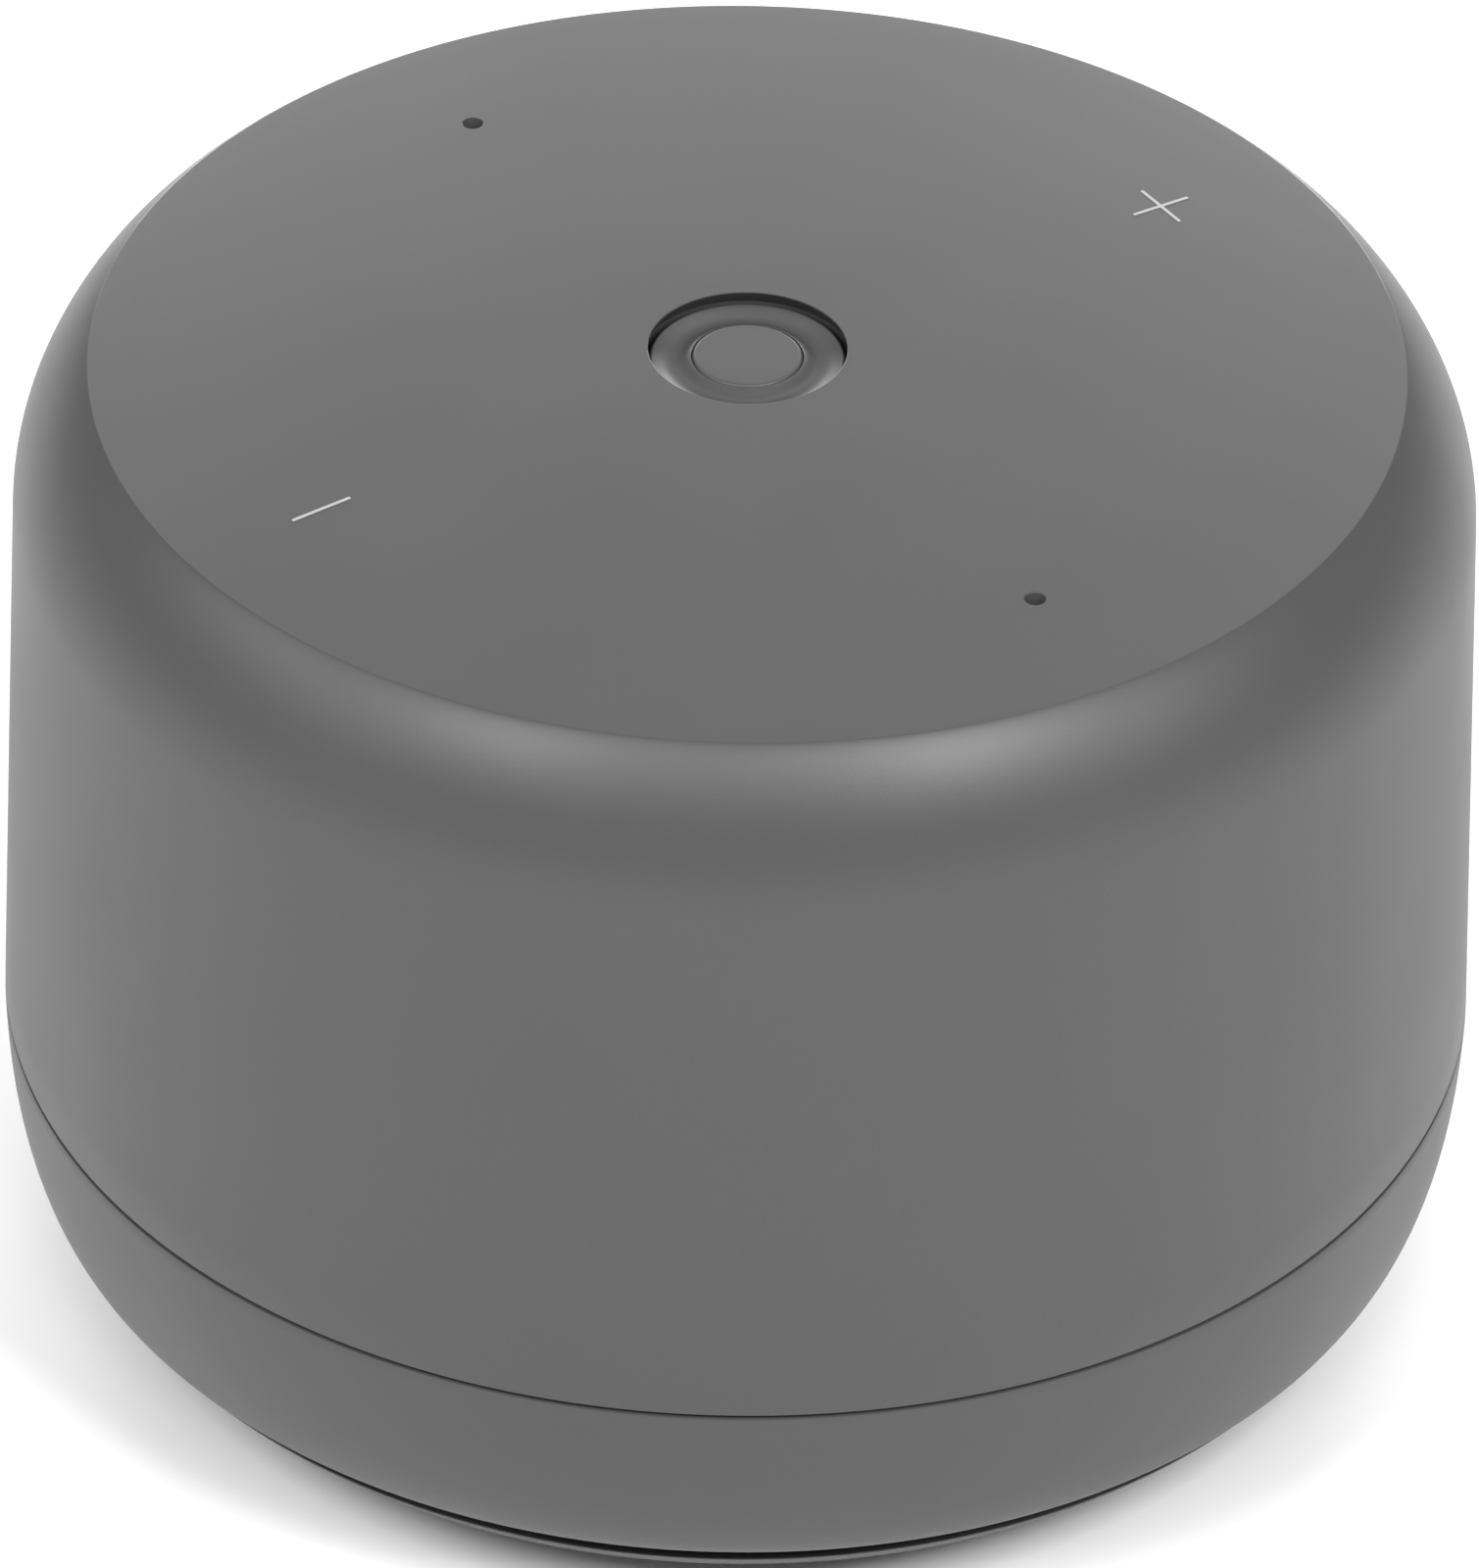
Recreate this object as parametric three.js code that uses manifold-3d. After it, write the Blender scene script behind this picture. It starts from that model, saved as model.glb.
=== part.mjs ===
// Compact smart speaker: a smooth round body in two moulded shells, standing on a rubber ring.
// A small driver fires down onto a cone on the foot plate, and the sound leaves all round through
// the slot under the lower shell. The crowned top carries a sunk push button, two microphone holes
// and the printed volume marks.
//
// Millimetres, +Z up. The origin is the centre of the footprint, on the surface it stands on.
// +X runs from the minus mark to the plus mark. +Y is the back, with the power socket.
import * as THREE from "three";
import { mergeVertices } from "three/addons/utils/BufferGeometryUtils.js";
import Module from "manifold-3d";

const wasm = await Module();
wasm.setup();

// ---------------------------------------------------------------- driving dimensions: outer form
const HEIGHT = 69.6; // table to the middle of the crowned top
const SEAM_R = 48; // widest circle, where the two shells meet
const SEAM_Z = 20.4;
const CROWN = 1.07; // rise of the top from its rim to its middle
const SIDE_DRAFT = 0.98; // how much the side leans in between the seam and the shoulder
const SHOULDER_WIDTH = 4.9; // radial width of the rounded shoulder
const SHOULDER_DROP = 10.4;
const WALL = 2.2;
const SEAM_GAP = 0.25; // dark line between the shells
const SEAM_DEPTH = 0.8;
const LIP_INSET = 3.1; // the lower shell curves in this far, down to its lip above the sound slot
const LIP_Z = 7.15;
const LIP_WALL = 1.5;
const FOOT_STEP = 1.26; // upper edge of the foot plate, in from the lip above it
const FOOT_EDGE_Z = 5.5;
const FOOT_BEVEL = 1.85; // bevel under the foot plate's edge, as deep as it is wide
const FOOT_UNDER_Z = 3.2;
const FOOT_THICK = 2.4;

// ---------------------------------------------------------------- driving dimensions: top face
const MARK_R = 32.26; // circle of the microphone holes and the volume marks
const MARK_LENGTH = 4.3;
const MARK_STROKE = 0.26;
const PRINT_THICK = 0.1;
const PRINT_GAP = 0.01;
const MIC_HOLE_R = 0.65;
const BUTTON_R = 6.37; // hole in the top shell for the button
const BUTTON_GAP = 0.12;
const BUTTON_SINK = 0.8; // button rim below the top
const BUTTON_DISH = 0.5;
const BUTTON_TRAVEL = 0.4;
const LENS_R = 3.55; // round raised pad in the middle of the button
const LENS_RISE = 0.75; // pad above the bottom of the dish

// ---------------------------------------------------------------- driving dimensions: inside
const FIT = 0.3; // running gap between neighbouring pieces
const GLUE = 0.05; // bond line between glued pieces
const FLOOR_Z = 9.8; // underside of the lower shell's floor, which is also the driver's baffle
const FLOOR_THICK = 2.2;
const SPIGOT_THICK = 1.4;
const SPIGOT_RISE = 3.1;
const BOARD_THICK = 1.6;
const BOARD_POST = 6;
const TOP_BOARD_THICK = 1.2;
const TOP_BOARD_R = 38;
const GASKET_HEIGHT = 2; // microphone gaskets and touch pads, between the top board and the shell
const ENCLOSURE_WALL = 2;
const ENCLOSURE_HEADROOM = 5;
const SEAL_THICK = 0.8;
const DRIVER_R = 28.2; // mounting flange of the driver
const DRIVER_FLANGE_WIDTH = 3.6;
const SURROUND_WIDTH = 5.6; // rubber edge, between the driver's flange and its cone
const COIL_R = 7.9; // inside of the voice coil former
const MAGNET_R = 17;
const MAGNET_THICK = 6.4;
const SCREW_R = 1.3; // thread radius of the large screws
const SMALL_SCREW_R = 0.9;
const THREAD_GAP = 0.05;
const FOOT_RING_WIDTH = 9;

// ---------------------------------------------------------------- derived places
const RIM_R = SEAM_R - SIDE_DRAFT - SHOULDER_WIDTH;
const RIM_Z = HEIGHT - CROWN;
const SHOULDER_R = SEAM_R - SIDE_DRAFT;
const SHOULDER_Z = RIM_Z - SHOULDER_DROP;
const SHELL_EDGE_Z = SEAM_Z + SEAM_GAP / 2;
const LAND_Z = SEAM_Z - SEAM_GAP / 2; // where the two shells touch
const LIP_R = SEAM_R - LIP_INSET;
const FOOT_EDGE_R = LIP_R - FOOT_STEP;
const BOWL_INNER_R = SEAM_R - WALL - FIT - SPIGOT_THICK;
const FLOOR_TOP_Z = FLOOR_Z + FLOOR_THICK;

const BOSS_R = 2.6; // long bosses of the top shell, which clamp the speaker box
const BOSS_AT = BOWL_INNER_R - FIT - BOSS_R;
const ENCLOSURE_R = BOSS_AT - BOSS_R - 0.6;
const FLANGE_THICK = 2;
const FLANGE_Z = FLOOR_TOP_Z + SEAL_THICK;
const BOSS_FOOT_Z = FLANGE_Z + FLANGE_THICK;
const BOSS_TOP_Z = BOSS_FOOT_Z + 19;
const SHELL_SCREW_DEPTH = 9.4;
const SHELL_SCREW_ANGLES = [30, 150, 270];

const FOOT_BOSS_R = 3;
const FOOT_SCREW_AT = DRIVER_R + FIT + FOOT_BOSS_R;
const FOOT_SCREW_ANGLES = [90, 210, 330];
const FOOT_POST_R = 4;
const FOOT_GROOVE_Z = FOOT_UNDER_Z + 0.8;
const FOOT_TOP_Z = FOOT_UNDER_Z + FOOT_THICK;
const FOOT_SEAT_Z = FLOOR_Z - 2.8; // where the heads of the foot screws bear
const MESH_R = BOSS_AT - 3.3;
const MESH_THICK = 0.4;

const SEAL_LIFT = 0.6; // foam ring under the driver
const CONE_OPENING_R = DRIVER_R - DRIVER_FLANGE_WIDTH;
const DRIVER_Z = FLOOR_TOP_Z + SEAL_LIFT;
const BASKET_FLANGE = 1.2;
const CONE_EDGE_Z = DRIVER_Z + 0.95;
const CONE_NECK_Z = CONE_EDGE_Z + 6;
const SPIDER_Z = CONE_NECK_Z + 1.1;
const BACK_PLATE_Z = SPIDER_Z + 1.2;
const BACK_PLATE_THICK = 1;
const WASHER_Z = BACK_PLATE_Z + BACK_PLATE_THICK;
const WASHER_THICK = 2;
const MAGNET_Z = WASHER_Z + WASHER_THICK;
const YOKE_Z = MAGNET_Z + MAGNET_THICK;
const YOKE_THICK = 2.2;
const ENCLOSURE_TOP_Z = YOKE_Z + YOKE_THICK + ENCLOSURE_HEADROOM + ENCLOSURE_WALL;
const BOARD_Z = ENCLOSURE_TOP_Z + BOARD_POST;
const BOARD_TOP_Z = BOARD_Z + BOARD_THICK;
const BOARD_POSTS_AT = 29;
const BOARD_SCREW_ANGLES = [60, 240];

const TOP_BOARD_Z = crown(MARK_R) - WALL - 0.7 - GASKET_HEIGHT - TOP_BOARD_THICK;
const TOP_BOARD_TOP_Z = TOP_BOARD_Z + TOP_BOARD_THICK;
const SEAT_Z = TOP_BOARD_TOP_Z + GASKET_HEIGHT; // flat seats under the top for gaskets and pads
const TOP_BOARD_SCREWS_AT = 28;
const TOP_BOARD_SCREW_ANGLES = [45, 165, 285];

// ---------------------------------------------------------------- facets
const OUTER_SIDES = 48;
const INNER_SIDES = 24;
const SMALL_SIDES = 16;
const SCREW_SIDES = 8;

// ---------------------------------------------------------------- geometry helpers
function solid(geometry) {
  const bare = geometry.index ? geometry.toNonIndexed() : geometry.clone();
  bare.deleteAttribute("normal");
  bare.deleteAttribute("uv");
  const merged = mergeVertices(bare, 1e-4);
  return new wasm.Manifold(
    new wasm.Mesh({
      numProp: 3,
      vertProperties: merged.attributes.position.array,
      triVerts: new Uint32Array(merged.index.array),
    }),
  );
}

function geometryOf(made) {
  const mesh = made.getMesh();
  const geometry = new THREE.BufferGeometry();
  geometry.setAttribute("position", new THREE.BufferAttribute(mesh.vertProperties, 3));
  geometry.setIndex(new THREE.BufferAttribute(mesh.triVerts, 1));
  geometry.computeVertexNormals();
  return geometry;
}

// A closed profile of [radius, z] points, turned about Z. It may touch the axis along one edge.
function turned(points, sides = INNER_SIDES) {
  const loop = [...points, points[0]];
  const area = points.reduce((sum, [r, z], i) => sum + r * loop[i + 1][1] - loop[i + 1][0] * z, 0);
  const ordered = area > 0 ? loop : loop.reverse();
  const profile = ordered.map(([r, z]) => new THREE.Vector2(r, z));
  return solid(new THREE.LatheGeometry(profile, sides).rotateX(Math.PI / 2));
}

function ring(inner, outer, low, high, sides) {
  return turned([[inner, low], [outer, low], [outer, high], [inner, high]], sides);
}

function disc(radius, low, high, sides) {
  return ring(0, radius, low, high, sides);
}

function block([x0, x1], [y0, y1], [z0, z1]) {
  const box = new THREE.BoxGeometry(x1 - x0, y1 - y0, z1 - z0);
  return solid(box.translate((x0 + x1) / 2, (y0 + y1) / 2, (z0 + z1) / 2));
}

function moved(made, x, y, degrees = 0) {
  return solid(geometryOf(made).rotateZ(THREE.MathUtils.degToRad(degrees)).translate(x, y, 0));
}

function polar(radius, degrees) {
  const angle = THREE.MathUtils.degToRad(degrees);
  return [radius * Math.cos(angle), radius * Math.sin(angle)];
}

function peg(radius, low, high, [x, y], sides = SMALL_SIDES) {
  return moved(disc(radius, low, high, sides), x, y);
}

function joined(...pieces) {
  return pieces.reduce((whole, piece) => whole.add(piece));
}

function cut(whole, ...tools) {
  return tools.reduce((rest, tool) => rest.subtract(tool), whole);
}

// Points of a cubic curve between two profile corners.
function curve(from, fromHandle, toHandle, to, steps) {
  const corners = [from, fromHandle, toHandle, to].map(([r, z]) => new THREE.Vector2(r, z));
  return new THREE.CubicBezierCurve(...corners).getPoints(steps).map((p) => [p.x, p.y]);
}

// The same open profile, moved sideways by a wall thickness, to its right as it is drawn.
function inset(points, distance) {
  return points.map(([r, z], i) => {
    const [r0, z0] = points[Math.max(i - 1, 0)];
    const [r1, z1] = points[Math.min(i + 1, points.length - 1)];
    const length = Math.hypot(r1 - r0, z1 - z0);
    return [r + (distance * (z1 - z0)) / length, z - (distance * (r1 - r0)) / length];
  });
}

// A rounded-end outline of the given width and height, pushed along Y.
function slotCut(width, height, z, [y0, y1]) {
  const half = (width - height) / 2;
  const shape = new THREE.Shape();
  shape.absarc(half, 0, height / 2, -Math.PI / 2, Math.PI / 2, false);
  shape.absarc(-half, 0, height / 2, Math.PI / 2, (3 * Math.PI) / 2, false);
  const bar = new THREE.ExtrudeGeometry(shape, { depth: y1 - y0, bevelEnabled: false, curveSegments: 8 });
  return solid(bar.rotateX(Math.PI / 2).translate(0, y1, z));
}

// ---------------------------------------------------------------- outer profiles
function crown(r) {
  return RIM_Z + CROWN * (1 - (r / RIM_R) ** 2);
}

function sideRadius(z) {
  return SEAM_R - (SIDE_DRAFT * (z - SEAM_Z)) / (SHOULDER_Z - SEAM_Z);
}

function topFace(lift = 0) {
  return [0, 0.4, 0.75, 1].map((share) => [share * RIM_R, crown(share * RIM_R) + lift]);
}

function topProfile() {
  const shoulder = curve(
    [RIM_R, RIM_Z],
    [RIM_R + 0.05 * SHOULDER_WIDTH, RIM_Z],
    [SHOULDER_R - 0.17, SHOULDER_Z + 0.61 * SHOULDER_DROP],
    [SHOULDER_R, SHOULDER_Z],
    5,
  );
  return [...topFace(), ...shoulder.slice(1), [sideRadius(SHELL_EDGE_Z), SHELL_EDGE_Z]];
}

function bowlProfile() {
  const chamfer = 0.2;
  const side = curve(
    [SEAM_R, LAND_Z - chamfer],
    [SEAM_R - 0.27, SEAM_Z - 0.75 * (SEAM_Z - LIP_Z)],
    [LIP_R + 0.46, LIP_Z + 0.13],
    [LIP_R, LIP_Z],
    6,
  );
  return [[SEAM_R - chamfer, LAND_Z], ...side];
}

// ---------------------------------------------------------------- sockets and switch, at the back
const PORT_Z = BOARD_TOP_Z + 1.63;
const PORT_WIDTH = 8.94;
const PORT_HEIGHT = 3.26;
const PORT_DEPTH = 7.35;
const PORT_FACE_Y = sideRadius(PORT_Z) - WALL - 0.7;
const SWITCH_ANGLE = -24; // the slider sits this far round from the port
const SWITCH_Z = BOARD_TOP_Z + 1.75;
const SWITCH_TRAVEL = 2;
const KNOB = { width: 4.6, height: 2.4, thick: 0.9 };
const POCKET_DEPTH = 1.2;
const POCKET_Y = sideRadius(SWITCH_Z) - POCKET_DEPTH;

function topShell() {
  const outer = topProfile();
  const inner = inset(outer, WALL).map(([r, z], i) => (i === 0 ? [0, z] : [r, z]));
  const foot = inner.pop();
  const groove = SEAM_R - SEAM_DEPTH;
  const land = [[groove, SHELL_EDGE_Z], [groove, LAND_Z], [foot[0], LAND_Z]];
  const shell = turned([...outer, ...land, ...inner.reverse()], OUTER_SIDES);
  const bosses = SHELL_SCREW_ANGLES.map(shellBoss);
  const posts = TOP_BOARD_SCREW_ANGLES.map((angle) => {
    const at = polar(TOP_BOARD_SCREWS_AT, angle);
    return peg(2.8, TOP_BOARD_TOP_Z, crown(TOP_BOARD_SCREWS_AT) - WALL + 0.5, at);
  });
  const seatTop = crown(MARK_R) - WALL + 0.5;
  const seats = [0, 90, 180, 270].map((angle) => peg(4.6, SEAT_Z, seatTop, polar(MARK_R, angle)));
  const holes = [90, 270].map((a) => peg(MIC_HOLE_R, SEAT_Z - 1, HEIGHT, polar(MARK_R, a), SCREW_SIDES));
  const threads = TOP_BOARD_SCREW_ANGLES.map((angle) => {
    const at = polar(TOP_BOARD_SCREWS_AT, angle);
    return peg(SMALL_SCREW_R + THREAD_GAP, TOP_BOARD_TOP_Z - 1, TOP_BOARD_TOP_Z + 2.2, at, SCREW_SIDES);
  });
  const clampThreads = SHELL_SCREW_ANGLES.map((angle) => {
    const top = BOSS_FOOT_Z + SHELL_SCREW_DEPTH + 1;
    return peg(SCREW_R + THREAD_GAP, BOSS_FOOT_Z - 1, top, polar(BOSS_AT, angle), SCREW_SIDES);
  });
  const button = disc(BUTTON_R, RIM_Z - 2 * WALL, HEIGHT + 1, INNER_SIDES);
  const port = slotCut(PORT_WIDTH + 0.7, PORT_HEIGHT + 0.7, PORT_Z, [PORT_FACE_Y - 2, SEAM_R + 1]);
  const portRecess = slotCut(12.8, 7, PORT_Z, [sideRadius(PORT_Z) - 0.9, SEAM_R + 1]);
  return cut(
    joined(shell, ...bosses, ...posts, ...seats),
    ...holes,
    ...threads,
    ...clampThreads,
    button,
    port,
    portRecess,
    ...switchCuts(),
  );
}

// A long boss for a clamping screw, tied to the shell's wall by a rib above the lower shell's spigot.
function shellBoss(angle) {
  const wall = sideRadius(BOSS_FOOT_Z) - WALL / 2;
  const ribFoot = LAND_Z + SPIGOT_RISE + FIT;
  const rib = block([BOSS_AT, wall], [-0.9, 0.9], [ribFoot, BOSS_TOP_Z]);
  const post = peg(BOSS_R, BOSS_FOOT_Z, BOSS_TOP_Z, [BOSS_AT, 0]);
  return moved(joined(post, rib), 0, 0, angle);
}

// The pocket for the slider's knob and the slot for its stem.
function switchCuts() {
  const width = KNOB.width + SWITCH_TRAVEL + 2 * FIT;
  const height = KNOB.height + 2 * FIT;
  const pocket = block(
    [-width / 2, width / 2],
    [POCKET_Y, SEAM_R + 2],
    [SWITCH_Z - height / 2, SWITCH_Z + height / 2],
  );
  const stemSlot = block([-2.3, 2.3], [POCKET_Y - 3, POCKET_Y + 1], [SWITCH_Z - 0.9, SWITCH_Z + 0.9]);
  return [pocket, stemSlot].map((tool) => moved(tool, 0, 0, SWITCH_ANGLE));
}

function baseBowl() {
  const outer = bowlProfile();
  const inside = [
    [LIP_R - LIP_WALL, LIP_Z + 0.2],
    [LIP_R - LIP_WALL - 0.4, FLOOR_Z],
    [CONE_OPENING_R + 0.8, FLOOR_Z],
    [CONE_OPENING_R, FLOOR_Z + 0.8],
    [CONE_OPENING_R, FLOOR_TOP_Z],
    [BOWL_INNER_R, FLOOR_TOP_Z],
    [BOWL_INNER_R, LAND_Z + SPIGOT_RISE],
    [BOWL_INNER_R + SPIGOT_THICK, LAND_Z + SPIGOT_RISE],
    [BOWL_INNER_R + SPIGOT_THICK, LAND_Z],
  ];
  const shell = turned([...outer, ...inside], OUTER_SIDES);
  const bosses = FOOT_SCREW_ANGLES.map((angle) => {
    return peg(FOOT_BOSS_R, FLOOR_TOP_Z - 0.5, FLOOR_TOP_Z + 5.5, polar(FOOT_SCREW_AT, angle));
  });
  const threads = FOOT_SCREW_ANGLES.map((angle) => {
    const at = polar(FOOT_SCREW_AT, angle);
    return peg(SCREW_R + THREAD_GAP, FLOOR_Z - 1, FLOOR_TOP_Z + 4.5, at, SCREW_SIDES);
  });
  const clearances = SHELL_SCREW_ANGLES.map((angle) => {
    return peg(SCREW_R + FIT, FLOOR_Z - 1, FLOOR_TOP_Z + 1, polar(BOSS_AT, angle), SCREW_SIDES);
  });
  const headPockets = SHELL_SCREW_ANGLES.map((angle) => {
    return peg(2.2 * SCREW_R, LIP_Z - 1, FLOOR_Z, polar(BOSS_AT, angle));
  });
  const driverThreads = DRIVER_SCREW_ANGLES.map((angle) => {
    const at = polar(DRIVER_SCREWS_AT, angle);
    return peg(SMALL_SCREW_R + THREAD_GAP, FLOOR_Z - 1, FLOOR_TOP_Z + 1, at, SCREW_SIDES);
  });
  return cut(joined(shell, ...bosses), ...threads, ...clearances, ...headPockets, ...driverThreads);
}

// ---------------------------------------------------------------- foot
function footPlate() {
  const ringIn = FOOT_SCREW_AT - FOOT_RING_WIDTH / 2 - FIT;
  const ringOut = FOOT_SCREW_AT + FOOT_RING_WIDTH / 2 + FIT;
  const flare = curve([21, FOOT_TOP_Z], [12, FOOT_TOP_Z], [7, 9], [2, FLOOR_Z + 1.2], 4);
  const plate = turned(
    [
      [0, FOOT_UNDER_Z + 0.3],
      [ringIn - 3, FOOT_UNDER_Z + 0.3],
      [ringIn - 3, FOOT_UNDER_Z],
      [ringIn, FOOT_UNDER_Z],
      [ringIn, FOOT_GROOVE_Z],
      [ringOut, FOOT_GROOVE_Z],
      [ringOut, FOOT_UNDER_Z],
      [FOOT_EDGE_R - FOOT_BEVEL - 1.2, FOOT_UNDER_Z],
      [FOOT_EDGE_R - FOOT_BEVEL, FOOT_EDGE_Z - FOOT_BEVEL],
      [FOOT_EDGE_R, FOOT_EDGE_Z],
      [FOOT_EDGE_R - 0.5, FOOT_TOP_Z],
      ...flare,
      [0, FLOOR_Z + 1.5],
    ],
    OUTER_SIDES,
  );
  const posts = FOOT_SCREW_ANGLES.map((a) => {
    return peg(FOOT_POST_R, FOOT_GROOVE_Z, FLOOR_Z, polar(FOOT_SCREW_AT, a));
  });
  const heads = FOOT_SCREW_ANGLES.map((a) => {
    return peg(2.2 * SCREW_R, FOOT_UNDER_Z - 1, FOOT_SEAT_Z, polar(FOOT_SCREW_AT, a));
  });
  const shanks = FOOT_SCREW_ANGLES.map((a) => {
    return peg(SCREW_R + FIT, FOOT_SEAT_Z - 0.2, FLOOR_Z + 1, polar(FOOT_SCREW_AT, a), SCREW_SIDES);
  });
  return cut(joined(plate, ...posts), ...heads, ...shanks);
}

function rubberFoot() {
  const inner = FOOT_SCREW_AT - FOOT_RING_WIDTH / 2;
  const outer = FOOT_SCREW_AT + FOOT_RING_WIDTH / 2;
  const round = 0.6;
  return turned([
    [inner + round, 0],
    [outer - round, 0],
    [outer, round],
    [outer, FOOT_GROOVE_Z],
    [inner, FOOT_GROOVE_Z],
    [inner, round],
  ]);
}

function slotMesh() {
  return ring(MESH_R - MESH_THICK, MESH_R, FOOT_TOP_Z, FLOOR_Z);
}

// ---------------------------------------------------------------- button, marks and top board
const CAP_FLANGE_Z = crown(BUTTON_R) - WALL - 0.15;
const CAP_UNDER_Z = CAP_FLANGE_Z - 0.8;
const CAP_RIM_Z = crown(BUTTON_R) - BUTTON_SINK;
const DISH_Z = CAP_RIM_Z - BUTTON_DISH;
const LENS_SEAT_Z = CAP_UNDER_Z + 1.1;
const PLUNGER_TOP_Z = CAP_UNDER_Z - 0.4;
const SWITCH_BODY_Z = PLUNGER_TOP_Z - BUTTON_TRAVEL - 0.2;

function buttonCap() {
  const outer = BUTTON_R - BUTTON_GAP;
  return turned([
    [1.6, CAP_UNDER_Z],
    [outer + 1.05, CAP_UNDER_Z],
    [outer + 1.05, CAP_FLANGE_Z],
    [outer, CAP_FLANGE_Z],
    [outer, CAP_RIM_Z - 0.1],
    [outer - 0.15, CAP_RIM_Z],
    [outer - 1.2, CAP_RIM_Z - 0.34],
    [LENS_R + 0.1, DISH_Z],
    [LENS_R + 0.1, LENS_SEAT_Z],
    [1.6, LENS_SEAT_Z],
  ]);
}

function buttonLens() {
  const top = DISH_Z + LENS_RISE;
  return turned([
    [0, PLUNGER_TOP_Z],
    [1.3, PLUNGER_TOP_Z],
    [1.3, LENS_SEAT_Z],
    [LENS_R, LENS_SEAT_Z],
    [LENS_R, top - 0.2],
    [LENS_R - 0.2, top],
    [0, top],
  ]);
}

function tactSwitchBody() {
  const body = block([-2.25, 2.25], [-2.25, 2.25], [TOP_BOARD_TOP_Z, SWITCH_BODY_Z]);
  const well = disc(1.4, SWITCH_BODY_Z - 1.1, SWITCH_BODY_Z + 1, SMALL_SIDES);
  return cut(body, well);
}

function tactPlunger() {
  return disc(1.1, SWITCH_BODY_Z - 0.55, PLUNGER_TOP_Z, SMALL_SIDES);
}

// A thin printed bar: what lies inside its outline of a film on the crowned top.
function printedBar([x0, x1], [y0, y1]) {
  const film = [...topFace(PRINT_GAP), ...topFace(PRINT_GAP + PRINT_THICK).reverse()];
  return turned(film, OUTER_SIDES).intersect(block([x0, x1], [y0, y1], [RIM_Z - 1, HEIGHT + 1]));
}

function volumeMark(centre, crossed) {
  const half = MARK_LENGTH / 2;
  const line = MARK_STROKE / 2;
  const bar = printedBar([centre - half, centre + half], [-line, line]);
  return crossed ? joined(bar, printedBar([centre - line, centre + line], [-half, half])) : bar;
}

function controlBoard() {
  const screws = TOP_BOARD_SCREW_ANGLES.map((angle) => {
    const at = polar(TOP_BOARD_SCREWS_AT, angle);
    return peg(SMALL_SCREW_R + 0.2, TOP_BOARD_Z - 1, TOP_BOARD_TOP_Z + 1, at, SCREW_SIDES);
  });
  const ports = [90, 270].map((angle) => {
    return peg(MIC_HOLE_R, TOP_BOARD_Z - 1, TOP_BOARD_TOP_Z + 1, polar(MARK_R, angle), SCREW_SIDES);
  });
  return cut(disc(TOP_BOARD_R, TOP_BOARD_Z, TOP_BOARD_TOP_Z, INNER_SIDES), ...screws, ...ports);
}

function micGasket(angle) {
  return moved(ring(MIC_HOLE_R + 0.2, 2.8, TOP_BOARD_TOP_Z, SEAT_Z, SMALL_SIDES), ...polar(MARK_R, angle));
}

function microphone(angle) {
  const [x, y] = polar(MARK_R, angle);
  return block([x - 1.9, x + 1.9], [y - 1.5, y + 1.5], [TOP_BOARD_Z - 1, TOP_BOARD_Z]);
}

function touchPad(angle) {
  return peg(4.3, TOP_BOARD_TOP_Z, SEAT_Z, polar(MARK_R, angle));
}

// ---------------------------------------------------------------- speaker box and driver
const DRIVER_SCREW_ANGLES = [45, 135, 225, 315];
const DRIVER_SCREWS_AT = (DRIVER_R + CONE_OPENING_R) / 2;
const LEAD_HOLE_AT = [-24, 0];
const LEAD_HOLE_R = 3;
const LEAD_R = 0.6;

function enclosure() {
  const roof = ENCLOSURE_TOP_Z - ENCLOSURE_WALL;
  const inner = ENCLOSURE_R - ENCLOSURE_WALL;
  const box = turned([
    [inner, FLANGE_Z],
    [ENCLOSURE_R + 1.6, FLANGE_Z],
    [ENCLOSURE_R + 1.6, BOSS_FOOT_Z],
    [ENCLOSURE_R, BOSS_FOOT_Z],
    [ENCLOSURE_R, ENCLOSURE_TOP_Z - 1.5],
    [ENCLOSURE_R - 1.5, ENCLOSURE_TOP_Z],
    [0, ENCLOSURE_TOP_Z],
    [0, roof],
    [inner, roof],
  ]);
  const ears = SHELL_SCREW_ANGLES.map((angle) => {
    const ear = peg(BOSS_R, FLANGE_Z, BOSS_FOOT_Z, [BOSS_AT, 0]);
    const arm = block([ENCLOSURE_R - 1, BOSS_AT], [-BOSS_R, BOSS_R], [FLANGE_Z, BOSS_FOOT_Z]);
    return moved(joined(ear, arm), 0, 0, angle);
  });
  const earHoles = SHELL_SCREW_ANGLES.map((angle) => {
    return peg(SCREW_R + FIT, FLANGE_Z - 1, BOSS_FOOT_Z + 1, polar(BOSS_AT, angle), SCREW_SIDES);
  });
  const posts = BOARD_SCREW_ANGLES.map((angle) => {
    return peg(2.6, ENCLOSURE_TOP_Z - 0.5, BOARD_Z, polar(BOARD_POSTS_AT, angle));
  });
  const rests = BOARD_SCREW_ANGLES.map((angle) => {
    return peg(2.6, ENCLOSURE_TOP_Z - 0.5, BOARD_Z, polar(BOARD_POSTS_AT, angle + 90));
  });
  const threads = BOARD_SCREW_ANGLES.map((angle) => {
    const at = polar(BOARD_POSTS_AT, angle);
    return peg(SMALL_SCREW_R + THREAD_GAP, ENCLOSURE_TOP_Z + 0.5, BOARD_Z + 1, at, SCREW_SIDES);
  });
  const leadHole = peg(LEAD_HOLE_R, roof - 1, ENCLOSURE_TOP_Z + 1, LEAD_HOLE_AT);
  return cut(joined(box, ...ears, ...posts, ...rests), ...earHoles, ...threads, leadHole);
}

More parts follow.
